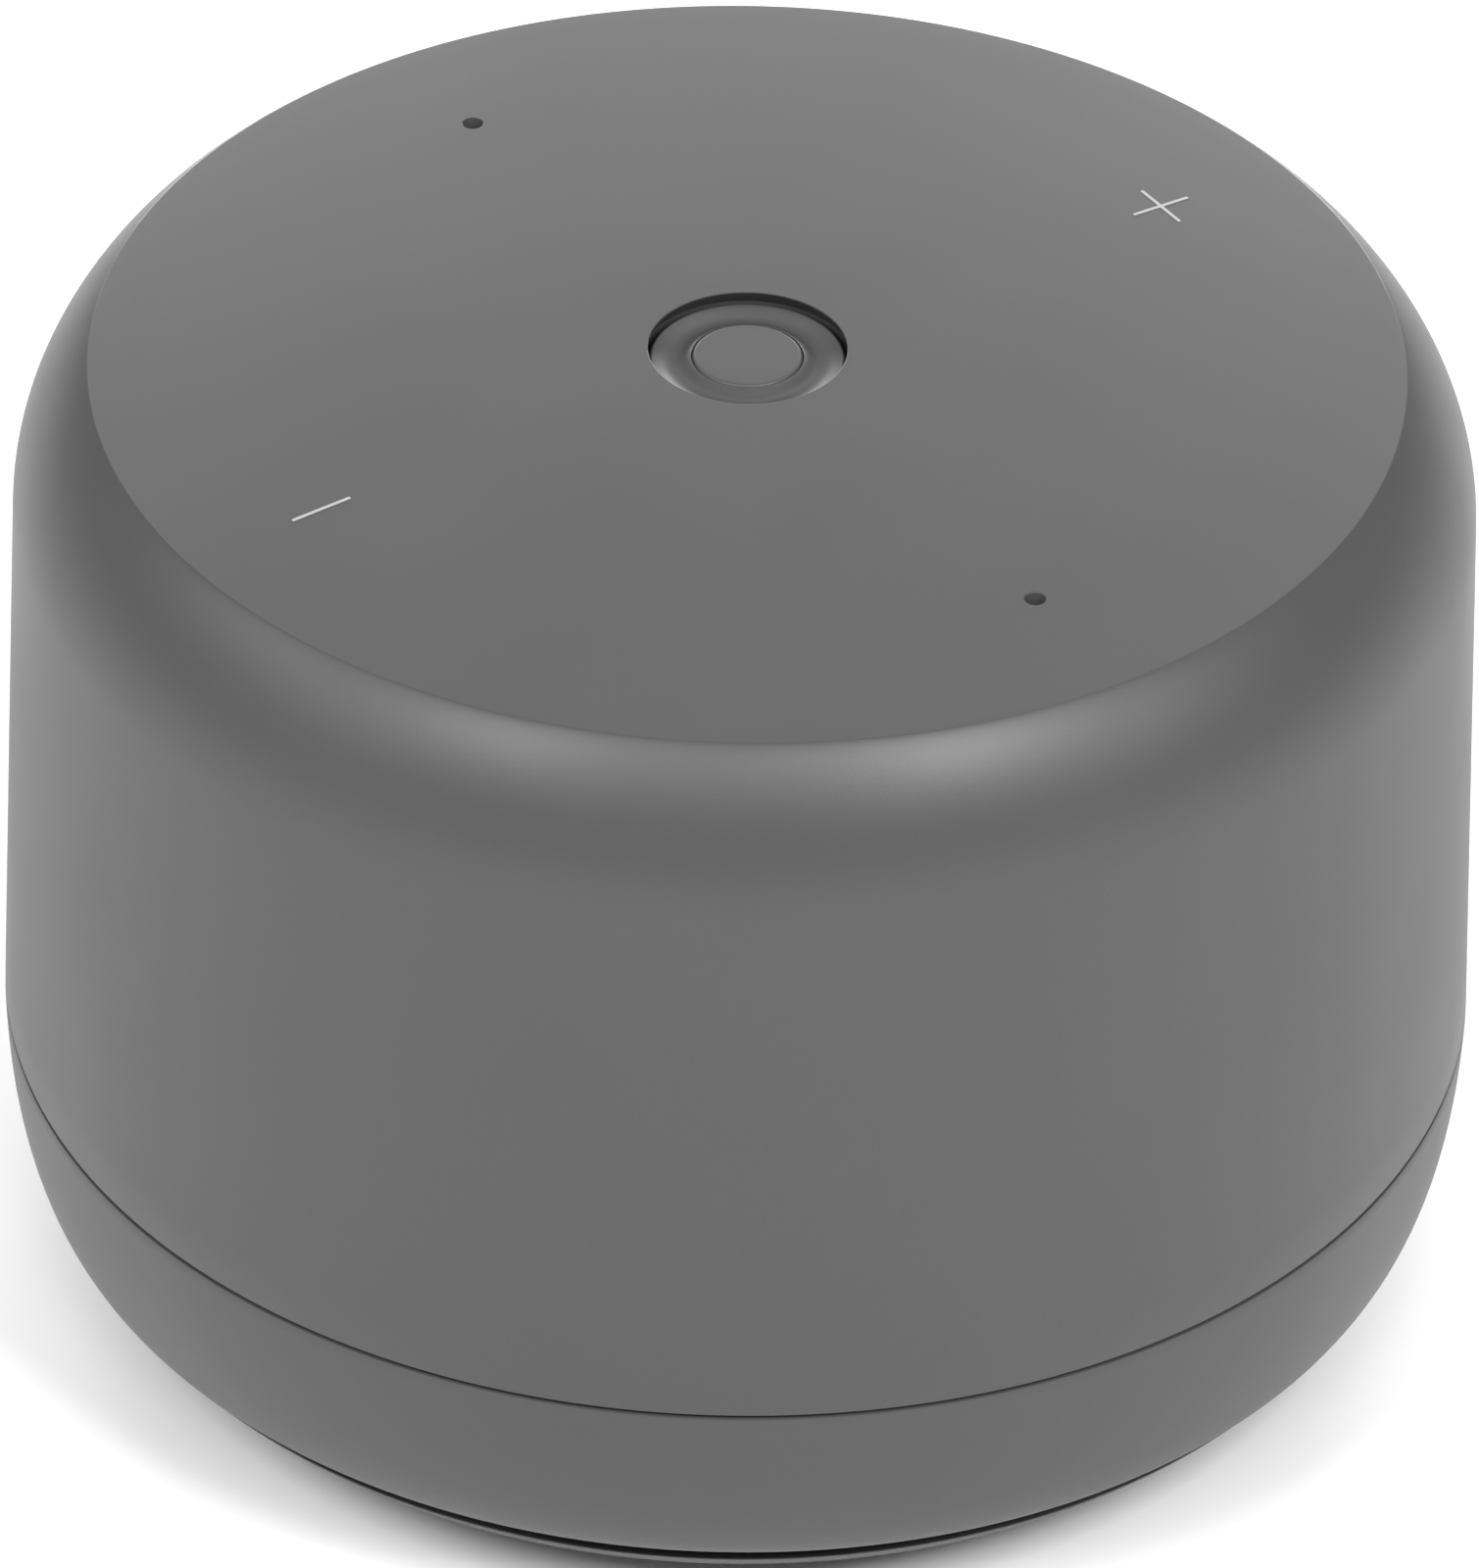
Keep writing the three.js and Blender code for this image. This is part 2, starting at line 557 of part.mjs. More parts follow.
function enclosureSeal() {
  return ring(ENCLOSURE_R - ENCLOSURE_WALL, ENCLOSURE_R + 1.4, FLOOR_TOP_Z, FLANGE_Z);
}

function driverBasket() {
  const flangeTop = DRIVER_Z + BASKET_FLANGE;
  const wall = 1;
  const basket = turned([
    [CONE_OPENING_R - 1.6, DRIVER_Z],
    [DRIVER_R, DRIVER_Z],
    [DRIVER_R, flangeTop],
    [CONE_OPENING_R, flangeTop],
    [MAGNET_R + 1.3 + wall, BACK_PLATE_Z - 1],
    [MAGNET_R + 1.3, WASHER_Z],
    [COIL_R + 3, WASHER_Z],
    [COIL_R + 3, BACK_PLATE_Z],
    [MAGNET_R - 1, BACK_PLATE_Z],
    [MAGNET_R - 1, SPIDER_Z + 0.3],
    [MAGNET_R + 1.2, SPIDER_Z + 0.3],
    [CONE_OPENING_R - 1.6, flangeTop + 0.4],
  ]);
  const windows = [0, 90, 180, 270].map((angle) => {
    const opening = block([14, DRIVER_R], [-7.5, 7.5], [flangeTop + 0.8, SPIDER_Z - 0.6]);
    return moved(opening, 0, 0, angle);
  });
  const screws = DRIVER_SCREW_ANGLES.map((angle) => {
    const at = polar(DRIVER_SCREWS_AT, angle);
    return peg(SMALL_SCREW_R + 0.2, DRIVER_Z - 1, flangeTop + 1, at, SCREW_SIDES);
  });
  return cut(basket, ...windows, ...screws);
}

function driverSeal() {
  const screws = DRIVER_SCREW_ANGLES.map((angle) => {
    const at = polar(DRIVER_SCREWS_AT, angle);
    return peg(SMALL_SCREW_R + 0.2, FLOOR_Z, DRIVER_Z + 1, at, SCREW_SIDES);
  });
  return cut(ring(CONE_OPENING_R + 0.2, DRIVER_R - 0.2, FLOOR_TOP_Z, DRIVER_Z), ...screws);
}

function washer() {
  return ring(COIL_R + 1.2, MAGNET_R - 0.5, WASHER_Z, MAGNET_Z);
}

function magnet() {
  return ring(COIL_R + 2.6, MAGNET_R, MAGNET_Z, YOKE_Z);
}

function yoke() {
  const pole = COIL_R - 0.6;
  const top = YOKE_Z + YOKE_THICK;
  return turned([[0, WASHER_Z - 0.4], [pole, WASHER_Z - 0.4], [pole, YOKE_Z], [MAGNET_R - 0.5, YOKE_Z],
    [MAGNET_R - 0.5, top - 0.6], [MAGNET_R - 1.1, top], [0, top]]);
}

function voiceCoil() {
  const former = COIL_R + 0.25;
  const winding = former + 0.45;
  const middle = WASHER_Z + WASHER_THICK / 2;
  return turned([
    [COIL_R, CONE_NECK_Z - 0.4],
    [former, CONE_NECK_Z - 0.4],
    [former, middle - 2],
    [winding, middle - 2],
    [winding, middle + 2],
    [former, middle + 2],
    [former, middle + 3],
    [COIL_R, middle + 3],
  ]);
}

// The cone is slightly curved, as pressed paper is.
const CONE_EDGE_R = CONE_OPENING_R - SURROUND_WIDTH;
const CONE_THICK = 0.45;

function coneBody() {
  const neck = COIL_R + 0.25 + GLUE;
  const front = curve(
    [CONE_EDGE_R, CONE_EDGE_Z],
    [CONE_EDGE_R - 4, CONE_EDGE_Z + 1.6],
    [neck + 2.8, CONE_NECK_Z - 1.6],
    [neck, CONE_NECK_Z],
    4,
  );
  const back = front.map(([r, z]) => [r, z + CONE_THICK]).reverse();
  return turned([...front, ...back]);
}

function dustCap() {
  const edge = COIL_R + 0.1;
  const rim = CONE_NECK_Z - 0.65;
  const front = curve([0, rim - 2.6], [4, rim - 2.6], [6.6, rim - 1.6], [edge, rim - 0.2], 4);
  const back = front.map(([r, z]) => [r, z + 0.4]).reverse();
  return turned([...front, ...back], SMALL_SIDES);
}

// Half-round rubber edge: its outer lip is glued to the basket and its inner lip to the cone.
function surround() {
  const thick = 0.4;
  const outer = CONE_OPENING_R - 1.4;
  const inner = CONE_EDGE_R + 0.2;
  const middle = (outer + inner) / 2;
  const radius = (outer - inner) / 2;
  const lipZ = DRIVER_Z - GLUE;
  const arc = (size) => [0, 1, 2, 3, 4].map((step) => {
    const angle = (Math.PI * step) / 4;
    return [middle + size * Math.cos(angle), lipZ - thick - size * Math.sin(angle)];
  });
  const low = [[CONE_OPENING_R - 0.2, lipZ - thick], ...arc(radius)];
  const coneLip = CONE_EDGE_Z - GLUE;
  const top = [[inner, coneLip - thick], [CONE_EDGE_R - 1, coneLip - thick], [CONE_EDGE_R - 1, coneLip],
    [inner + thick, coneLip]];
  const back = arc(radius - thick).reverse();
  return turned([...low, ...top, ...back, [outer - thick, lipZ], [CONE_OPENING_R - 0.2, lipZ]]);
}

// Corrugated cloth ring that centres the voice coil.
function spider() {
  const inner = COIL_R + 0.25 + GLUE;
  const outer = MAGNET_R + 0.6;
  const waves = 2;
  const steps = 8;
  const line = Array.from({ length: steps + 1 }, (_, i) => {
    const share = i / steps;
    const lift = 0.3 * Math.sin(2 * Math.PI * waves * share) * (share > 0.9 ? 0 : 1);
    return [inner + share * (outer - inner), SPIDER_Z + lift - 0.1];
  });
  const back = line.map(([r, z]) => [r, z + 0.35]).reverse();
  return turned([...line, ...back]);
}

function terminalStrip() {
  const foot = DRIVER_Z + BASKET_FLANGE;
  const x = -(DRIVER_SCREWS_AT + 1);
  return block([x, x + 1.2], [-3.5, 3.5], [foot, foot + 5]);
}

// ---------------------------------------------------------------- main board and wiring
function mainBoard() {
  const radius = sideRadius(BOARD_Z) - WALL - 2;
  const screws = BOARD_SCREW_ANGLES.map((angle) => {
    return peg(SMALL_SCREW_R + 0.2, BOARD_Z - 1, BOARD_TOP_Z + 1, polar(BOARD_POSTS_AT, angle), SCREW_SIDES);
  });
  return cut(disc(radius, BOARD_Z, BOARD_TOP_Z, INNER_SIDES), ...screws);
}

function shieldCan() {
  const [x, y, z] = [[-22, -2], [-20, -4], [BOARD_TOP_Z, BOARD_TOP_Z + 2.2]];
  const sheet = 0.3;
  const inside = block([x[0] + sheet, x[1] - sheet], [y[0] + sheet, y[1] - sheet], [z[0] - 1, z[1] - sheet]);
  return cut(block(x, y, z), inside);
}

function powerSocket() {
  const back = PORT_FACE_Y - PORT_DEPTH;
  const body = slotCut(PORT_WIDTH, PORT_HEIGHT, PORT_Z, [back, PORT_FACE_Y]);
  const mouth = slotCut(PORT_WIDTH - 0.6, PORT_HEIGHT - 0.6, PORT_Z, [back + 1, PORT_FACE_Y + 1]);
  const tongue = block([-3.35, 3.35], [back + 0.5, PORT_FACE_Y - 0.7], [PORT_Z - 0.35, PORT_Z + 0.35]);
  return joined(cut(body, mouth), tongue);
}

function muteSwitchBody() {
  const face = POCKET_Y - 3;
  const body = block([-3.5, 3.5], [face - 3.4, face], [BOARD_TOP_Z, BOARD_TOP_Z + 3.5]);
  return moved(body, 0, 0, SWITCH_ANGLE);
}

function muteSlider() {
  const { width, height, thick } = KNOB;
  const inner = POCKET_Y + FIT;
  const start = -SWITCH_TRAVEL / 2;
  const knob = block(
    [start - width / 2, start + width / 2],
    [inner, inner + thick],
    [SWITCH_Z - height / 2, SWITCH_Z + height / 2],
  );
  const stem = block([start - 1, start + 1], [POCKET_Y - 2.7, inner + 0.2], [SWITCH_Z - 0.6, SWITCH_Z + 0.6]);
  const ridges = [-1.2, 0, 1.2].map((x) => {
    const y = [inner + thick - 0.1, inner + thick + 0.2];
    return block([start + x - 0.25, start + x + 0.25], y, [SWITCH_Z - 0.9, SWITCH_Z + 0.9]);
  });
  return moved(joined(knob, stem, ...ridges), 0, 0, SWITCH_ANGLE);
}

const SPEAKER_SOCKET = { x: [-19, -14], height: 3.2 };

function speakerSocket() {
  return block(SPEAKER_SOCKET.x, [-3.5, 3.5], [BOARD_Z - SPEAKER_SOCKET.height, BOARD_Z]);
}

function leadGrommet() {
  const [x, y] = LEAD_HOLE_AT;
  const low = ENCLOSURE_TOP_Z - ENCLOSURE_WALL;
  const lip = LEAD_HOLE_R + 0.8;
  const body = turned([
    [0, low - 0.8],
    [lip, low - 0.8],
    [lip, low],
    [LEAD_HOLE_R, low],
    [LEAD_HOLE_R, ENCLOSURE_TOP_Z],
    [lip, ENCLOSURE_TOP_Z],
    [lip, ENCLOSURE_TOP_Z + 0.6],
    [0, ENCLOSURE_TOP_Z + 0.6],
  ], SMALL_SIDES);
  const holes = [-1, 1].map((side) => {
    return peg(LEAD_R + FIT, low - 2, ENCLOSURE_TOP_Z + 2, [0, side * LEAD_SPREAD], SCREW_SIDES);
  });
  return moved(cut(body, ...holes), x, y);
}

// One speaker wire, from the driver's terminal up through the grommet to the board's socket.
const LEAD_SPREAD = 1.25;

function speakerLead(side) {
  const y = side * LEAD_SPREAD;
  const terminalX = -(DRIVER_SCREWS_AT + 1) - FIT;
  const terminalZ = DRIVER_Z + BASKET_FLANGE + 3.6;
  const holeX = LEAD_HOLE_AT[0];
  const socketZ = BOARD_Z - SPEAKER_SOCKET.height / 2;
  const route = new THREE.CatmullRomCurve3([
    new THREE.Vector3(terminalX, y, terminalZ),
    new THREE.Vector3(terminalX - 2.2, y, terminalZ + 1.2),
    new THREE.Vector3(terminalX - 2.6, y, terminalZ + 6),
    new THREE.Vector3((terminalX + holeX) / 2 - 1, y, ENCLOSURE_TOP_Z - 9),
    new THREE.Vector3(holeX, y, ENCLOSURE_TOP_Z - 4),
    new THREE.Vector3(holeX, y, ENCLOSURE_TOP_Z + 1.6),
    new THREE.Vector3(holeX + 1.4, y, socketZ - 0.5),
    new THREE.Vector3(SPEAKER_SOCKET.x[0] - FIT, y, socketZ),
  ]);
  const section = new THREE.Shape().absarc(0, 0, LEAD_R, 0, 2 * Math.PI, false);
  const options = { steps: 24, curveSegments: 3, extrudePath: route };
  return solid(new THREE.ExtrudeGeometry(section, options));
}

const RIBBON = { width: 10, thick: 0.3, bulge: 6.5, x: 33 };
const RIBBON_SOCKET_HEIGHT = 1.9;

function ribbonSocket(low) {
  const x = [RIBBON.x - FIT - 4.2, RIBBON.x - FIT];
  return block(x, [-RIBBON.width / 2 - 1, RIBBON.width / 2 + 1], [low, low + RIBBON_SOCKET_HEIGHT]);
}

// A flat cable that bows outwards between its two sockets.
function ribbonCable() {
  const low = BOARD_TOP_Z + RIBBON_SOCKET_HEIGHT / 2;
  const high = TOP_BOARD_Z - RIBBON_SOCKET_HEIGHT / 2;
  const middle = (low + high) / 2;
  const bow = (offset) => Array.from({ length: 13 }, (_, i) => {
    const angle = -Math.PI / 2 + (Math.PI * i) / 12;
    const height = (high - low) / 2 + offset;
    return new THREE.Vector2(
      RIBBON.x + (RIBBON.bulge + offset) * Math.cos(angle),
      middle + height * Math.sin(angle),
    );
  });
  const outline = [...bow(RIBBON.thick / 2), ...bow(-RIBBON.thick / 2).reverse()];
  const strip = new THREE.ExtrudeGeometry(new THREE.Shape(outline), {
    depth: RIBBON.width,
    bevelEnabled: false,
  });
  return solid(strip.rotateX(Math.PI / 2).translate(0, RIBBON.width / 2, 0));
}

// ---------------------------------------------------------------- screws
// A cross-head screw on Z with its head's underside at seat. sense is +1 when its tip points up.
function screw(radius, length, seat, sense, at) {
  const headHeight = 1.2 * radius;
  const headRadius = 1.9 * radius;
  const level = (distance) => seat + sense * distance;
  const body = turned([
    [0, level(-headHeight)],
    [0.75 * headRadius, level(-headHeight)],
    [headRadius, level(-0.6 * headHeight)],
    [headRadius, level(0)],
    [radius, level(0)],
    [radius, level(length - radius)],
    [0.3 * radius, level(length)],
    [0, level(length)],
  ], SCREW_SIDES);
  const z = [level(-headHeight - 1), level(-0.45 * headHeight)].sort((a, b) => a - b);
  const arm = 0.6 * headRadius;
  const blade = 0.18 * headRadius;
  const cross = [block([-arm, arm], [-blade, blade], z), block([-blade, blade], [-arm, arm], z)];
  return moved(cut(body, ...cross), ...at);
}

// ---------------------------------------------------------------- materials
function finish(color, roughness, metalness = 0) {
  return new THREE.MeshStandardMaterial({ color, roughness, metalness });
}

const MATT_SHELL = finish(0x6b6b6b, 0.5);
const DARK_PLASTIC = finish(0x1d1d1e, 0.6);
const SOFT_RUBBER = finish(0x242424, 0.85);
const FOAM = finish(0x2c2c2c, 0.95);
const MESH_CLOTH = finish(0x141414, 0.9);
const INK = finish(0xc4c4c4, 0.6);
const SCREEN = finish(0x747474, 0.45);
const BOARD_GREEN = finish(0x1b4a34, 0.5);
const STEEL = finish(0x9a9c9e, 0.35, 1);
const ZINC = finish(0xb7b9bb, 0.3, 1);
const FERRITE = finish(0x303032, 0.6);
const PAPER = finish(0x3a3835, 0.9);
const CLOTH = finish(0xb28a4a, 0.9);
const COPPER = finish(0xb26b3f, 0.35, 1);
const IVORY = finish(0xd9d4c4, 0.5);
const RED_WIRE = finish(0xa32020, 0.5);
const BLACK_WIRE = finish(0x151515, 0.5);

// ---------------------------------------------------------------- assembly
const speaker = new THREE.Group();

function add(name, made, material) {
  const mesh = new THREE.Mesh(geometryOf(made), material.clone());
  mesh.name = name;
  speaker.add(mesh);
}

add("top_shell", topShell(), MATT_SHELL);
add("base_bowl", baseBowl(), MATT_SHELL);
add("foot_plate", footPlate(), MATT_SHELL);
add("rubber_foot", rubberFoot(), SOFT_RUBBER);
add("slot_mesh", slotMesh(), MESH_CLOTH);

add("button_cap", buttonCap(), MATT_SHELL);
add("button_lens", buttonLens(), SCREEN);
add("tact_switch_body", tactSwitchBody(), DARK_PLASTIC);
add("tact_plunger", tactPlunger(), IVORY);
add("plus_mark", volumeMark(MARK_R, true), INK);
add("minus_mark", volumeMark(-MARK_R, false), INK);

add("control_board", controlBoard(), BOARD_GREEN);
add("touch_pad_plus", touchPad(0), COPPER);
add("touch_pad_minus", touchPad(180), COPPER);
add("mic_gasket_rear", micGasket(90), SOFT_RUBBER);
add("mic_gasket_front", micGasket(270), SOFT_RUBBER);
add("microphone_rear", microphone(90), ZINC);
add("microphone_front", microphone(270), ZINC);
add("status_led", block([3.1, 4.7], [-0.4, 0.4], [TOP_BOARD_TOP_Z, TOP_BOARD_TOP_Z + 0.6]), IVORY);

add("speaker_box", enclosure(), DARK_PLASTIC);
add("speaker_box_seal", enclosureSeal(), FOAM);
add("driver_basket", driverBasket(), STEEL);
add("driver_seal", driverSeal(), FOAM);
add("magnet_washer", washer(), STEEL);
add("ring_magnet", magnet(), FERRITE);
add("yoke", yoke(), ZINC);
add("voice_coil", voiceCoil(), COPPER);
add("cone", coneBody(), PAPER);
add("dust_cap", dustCap(), PAPER);
add("surround", surround(), SOFT_RUBBER);
add("spider", spider(), CLOTH);
add("terminal_strip", terminalStrip(), CLOTH);

add("main_board", mainBoard(), BOARD_GREEN);
add("shield_can", shieldCan(), ZINC);
add("power_socket", powerSocket(), STEEL);
add("mute_switch_body", muteSwitchBody(), DARK_PLASTIC);
add("mute_slider", muteSlider(), DARK_PLASTIC);
add("speaker_socket", speakerSocket(), IVORY);
add("lead_grommet", leadGrommet(), SOFT_RUBBER);
add("speaker_lead_red", speakerLead(1), RED_WIRE);
add("speaker_lead_black", speakerLead(-1), BLACK_WIRE);
add("ribbon_cable", ribbonCable(), IVORY);
add("ribbon_socket_lower", ribbonSocket(BOARD_TOP_Z), IVORY);
add("ribbon_socket_upper", ribbonSocket(TOP_BOARD_Z - RIBBON_SOCKET_HEIGHT), IVORY);

FOOT_SCREW_ANGLES.forEach((angle, i) => {
  add(`foot_screw_${i + 1}`, screw(SCREW_R, 8.6, FOOT_SEAT_Z, 1, polar(FOOT_SCREW_AT, angle)), ZINC);
});
SHELL_SCREW_ANGLES.forEach((angle, i) => {
  const length = BOSS_FOOT_Z + SHELL_SCREW_DEPTH - FLOOR_Z;
  add(`shell_screw_${i + 1}`, screw(SCREW_R, length, FLOOR_Z, 1, polar(BOSS_AT, angle)), ZINC);
});
DRIVER_SCREW_ANGLES.forEach((angle, i) => {
  const seat = DRIVER_Z + BASKET_FLANGE;
  const length = seat - FLOOR_Z - 0.3;
  add(`driver_screw_${i + 1}`, screw(SMALL_SCREW_R, length, seat, -1, polar(DRIVER_SCREWS_AT, angle)), ZINC);
});
BOARD_SCREW_ANGLES.forEach((angle, i) => {
  const at = polar(BOARD_POSTS_AT, angle);
  add(`main_board_screw_${i + 1}`, screw(SMALL_SCREW_R, 6.2, BOARD_TOP_Z, -1, at), ZINC);
});
TOP_BOARD_SCREW_ANGLES.forEach((angle, i) => {
  const at = polar(TOP_BOARD_SCREWS_AT, angle);
  add(`control_board_screw_${i + 1}`, screw(SMALL_SCREW_R, 3.2, TOP_BOARD_Z, 1, at), ZINC);
});

export default speaker;
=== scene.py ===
# %% [markdown]
# # A small smart speaker, turned and moulded
# The speaker is a round puck: two satin grey shells that meet at a fine seam, a thin foot plate
# below a sound slot, and a sunk push button in the crowned top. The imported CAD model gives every
# place and every motion. This lesson makes the surfaces that the eye sees, at their real sizes.

# %% Load the frame
import math

import bmesh
import bpy
from mathutils import Matrix, Vector


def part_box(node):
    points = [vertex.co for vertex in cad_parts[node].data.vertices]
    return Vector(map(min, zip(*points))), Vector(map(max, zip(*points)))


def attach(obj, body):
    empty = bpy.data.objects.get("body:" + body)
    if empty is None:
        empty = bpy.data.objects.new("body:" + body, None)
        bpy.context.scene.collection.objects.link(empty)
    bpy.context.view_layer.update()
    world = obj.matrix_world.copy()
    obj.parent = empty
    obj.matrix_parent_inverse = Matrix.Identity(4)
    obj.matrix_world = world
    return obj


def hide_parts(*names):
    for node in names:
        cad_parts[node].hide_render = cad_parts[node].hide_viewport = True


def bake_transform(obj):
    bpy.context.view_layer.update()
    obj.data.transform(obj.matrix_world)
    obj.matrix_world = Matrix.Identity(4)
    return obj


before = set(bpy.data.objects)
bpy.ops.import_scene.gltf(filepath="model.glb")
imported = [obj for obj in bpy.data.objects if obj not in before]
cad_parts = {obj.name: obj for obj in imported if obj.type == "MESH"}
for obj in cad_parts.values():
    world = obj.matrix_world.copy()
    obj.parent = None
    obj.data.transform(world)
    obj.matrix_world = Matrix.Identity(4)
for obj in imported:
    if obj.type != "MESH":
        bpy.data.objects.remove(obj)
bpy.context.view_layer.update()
MM = 0.001

# %% [markdown]
# ## The camera
# The view looks down on the front left of the speaker at about 36 degrees, with a long lens, so
# that the sides stay almost parallel. The camera is a matrix built from three directions. That is
# easier to read than three turns, and the small tilt to the right is one more turn of two of them.

# %% Camera
EYE_DISTANCE = 970.73 * MM
EYE_AZIMUTH = math.radians(-34.42)
EYE_ELEVATION = math.radians(35.59)
EYE_ROLL = math.radians(1.071)
EYE_CENTRE = Vector((0, 0, 34.25 * MM))
AIM_RISE = 1.07 * MM
LENS_MM = 341.7

eye = EYE_CENTRE + EYE_DISTANCE * Vector((
    math.sin(EYE_AZIMUTH) * math.cos(EYE_ELEVATION),
    -math.cos(EYE_AZIMUTH) * math.cos(EYE_ELEVATION),
    math.sin(EYE_ELEVATION),
))
forward = (EYE_CENTRE + Vector((0, 0, AIM_RISE)) - eye).normalized()
level = forward.cross(Vector((0, 0, 1))).normalized()
upright = level.cross(forward)
right = level * math.cos(EYE_ROLL) + upright * math.sin(EYE_ROLL)
up = upright * math.cos(EYE_ROLL) - level * math.sin(EYE_ROLL)

camera = bpy.data.objects.new("camera", bpy.data.cameras.new("camera"))
camera.data.lens = LENS_MM
camera.data.clip_end = 20
camera.matrix_world = Matrix.Translation(eye) @ Matrix((right, up, -forward)).transposed().to_4x4()
bpy.context.scene.collection.objects.link(camera)
bpy.context.scene.camera = camera
bpy.context.scene.view_settings.view_transform = "Standard"
print("camera at", [round(value, 3) for value in eye], "lens", LENS_MM, "mm")

# %% [markdown]
# ## Helpers for materials
# Colours are written as sRGB hex, as a colour card gives them, and one function turns them into
# the linear values that the shader needs. Another adds any node with its settings and its links,
# so that a material reads as a short list. A third starts a material from its plain values.

# %% Colour and node helpers
def linear(code):
    channels = [int(code[i:i + 2], 16) / 255 for i in (1, 3, 5)]
    return [c / 12.92 if c <= 0.04045 else ((c + 0.055) / 1.055) ** 2.4 for c in channels] + [1.0]


def add_node(tree, kind, settings=None, values=None, links=None):
    made = tree.nodes.new(kind)
    for name, value in (settings or {}).items():
        setattr(made, name, value)
    for socket, value in (values or {}).items():
        made.inputs[socket].default_value = value
    for socket, source in (links or {}).items():
        tree.links.new(source, made.inputs[socket])
    return made


def new_material(name, colour, roughness, metallic=0.0, **values):
    material = bpy.data.materials.new(name)
    material.use_nodes = True
    shader = material.node_tree.nodes["Principled BSDF"]
    shader.inputs["Base Color"].default_value = linear(colour)
    shader.inputs["Roughness"].default_value = roughness
    shader.inputs["Metallic"].default_value = metallic
    for socket, value in values.items():
        shader.inputs[socket.replace("_", " ")].default_value = value
    return material, material.node_tree, shader


# %% [markdown]
# ## Satin ABS, moulded in a spark-eroded tool
# The shells are ABS in one mid grey. The tool's cavity was spark-eroded, which leaves a skin of
# tiny rounded pits, about 0.15 mm apart, that break the reflections up into a soft sheen. The pits
# are a noise that drives a very shallow bump and a faint change of tone. A second, slower noise
# moves the roughness a little, as the gloss of a real moulding wanders with the cooling of the
# tool. The other plastics, rubbers and papers here are made by the same function.

# %% Shell plastic
PIT_SPACING = 0.15 * MM
PIT_DEPTH = 0.004 * MM
FLOW_SPACING = 14 * MM
NOISE_RANGE = {"From Min": 0.3, "From Max": 0.7}
GLOSS_SPREAD = 0.02
PLASTIC_IOR = 1.5


def moulded_plastic(name, colour, roughness, pit_depth=PIT_DEPTH, pit_spacing=PIT_SPACING, tint=0.03):
    material, tree, shader = new_material(name, colour, roughness, IOR=PLASTIC_IOR)
    place = add_node(tree, "ShaderNodeTexCoord").outputs["Object"]
    pits = add_node(tree, "ShaderNodeTexNoise", values={"Scale": 1 / pit_spacing, "Detail": 1.0},
                    links={"Vector": place})
    bump = add_node(tree, "ShaderNodeBump", values={"Strength": 1.0, "Distance": pit_depth},
                    links={"Height": pits.outputs["Fac"]})
    flow = add_node(tree, "ShaderNodeTexNoise", values={"Scale": 1 / FLOW_SPACING, "Detail": 2.0},
                    links={"Vector": place})
    gloss = add_node(tree, "ShaderNodeMapRange",
                     values={**NOISE_RANGE, "To Min": roughness - GLOSS_SPREAD,
                             "To Max": roughness + GLOSS_SPREAD},
                     links={"Value": flow.outputs["Fac"]})
    shade = add_node(tree, "ShaderNodeMapRange",
                     values={**NOISE_RANGE, "To Min": 1 - tint, "To Max": 1 + tint},
                     links={"Value": pits.outputs["Fac"]})
    colours = add_node(tree, "ShaderNodeMix", {"data_type": "RGBA", "blend_type": "MULTIPLY"},
                       {0: 1.0, 6: linear(colour)}, {7: shade.outputs["Result"]})
    tree.links.new(colours.outputs[2], shader.inputs["Base Color"])
    tree.links.new(bump.outputs["Normal"], shader.inputs["Normal"])
    tree.links.new(gloss.outputs["Result"], shader.inputs["Roughness"])
    return material


SHELL_GREY = "#434343"
SHELL_ROUGHNESS = 0.42
shell_abs = moulded_plastic("Satin ABS, spark-eroded", SHELL_GREY, SHELL_ROUGHNESS)

# %% [markdown]
# ## One Geometry Nodes tree for every turned piece
# Shells, plates, seals, cones and magnets are all a profile turned about the upright axis, so one
# tree makes them all. The object holds only the profile, a chain of points with X as the radius
# and Z as the height. The tree lays a grid with one row for each profile point, bends it into a
# full turn, welds the last column to the first, and keeps an edge sharp where the surface turns
# by more than an angle. The result is closed because the profile ends where it began or on the
# axis.

# %% The turning tree
WELD_DISTANCE = 0.001 * MM


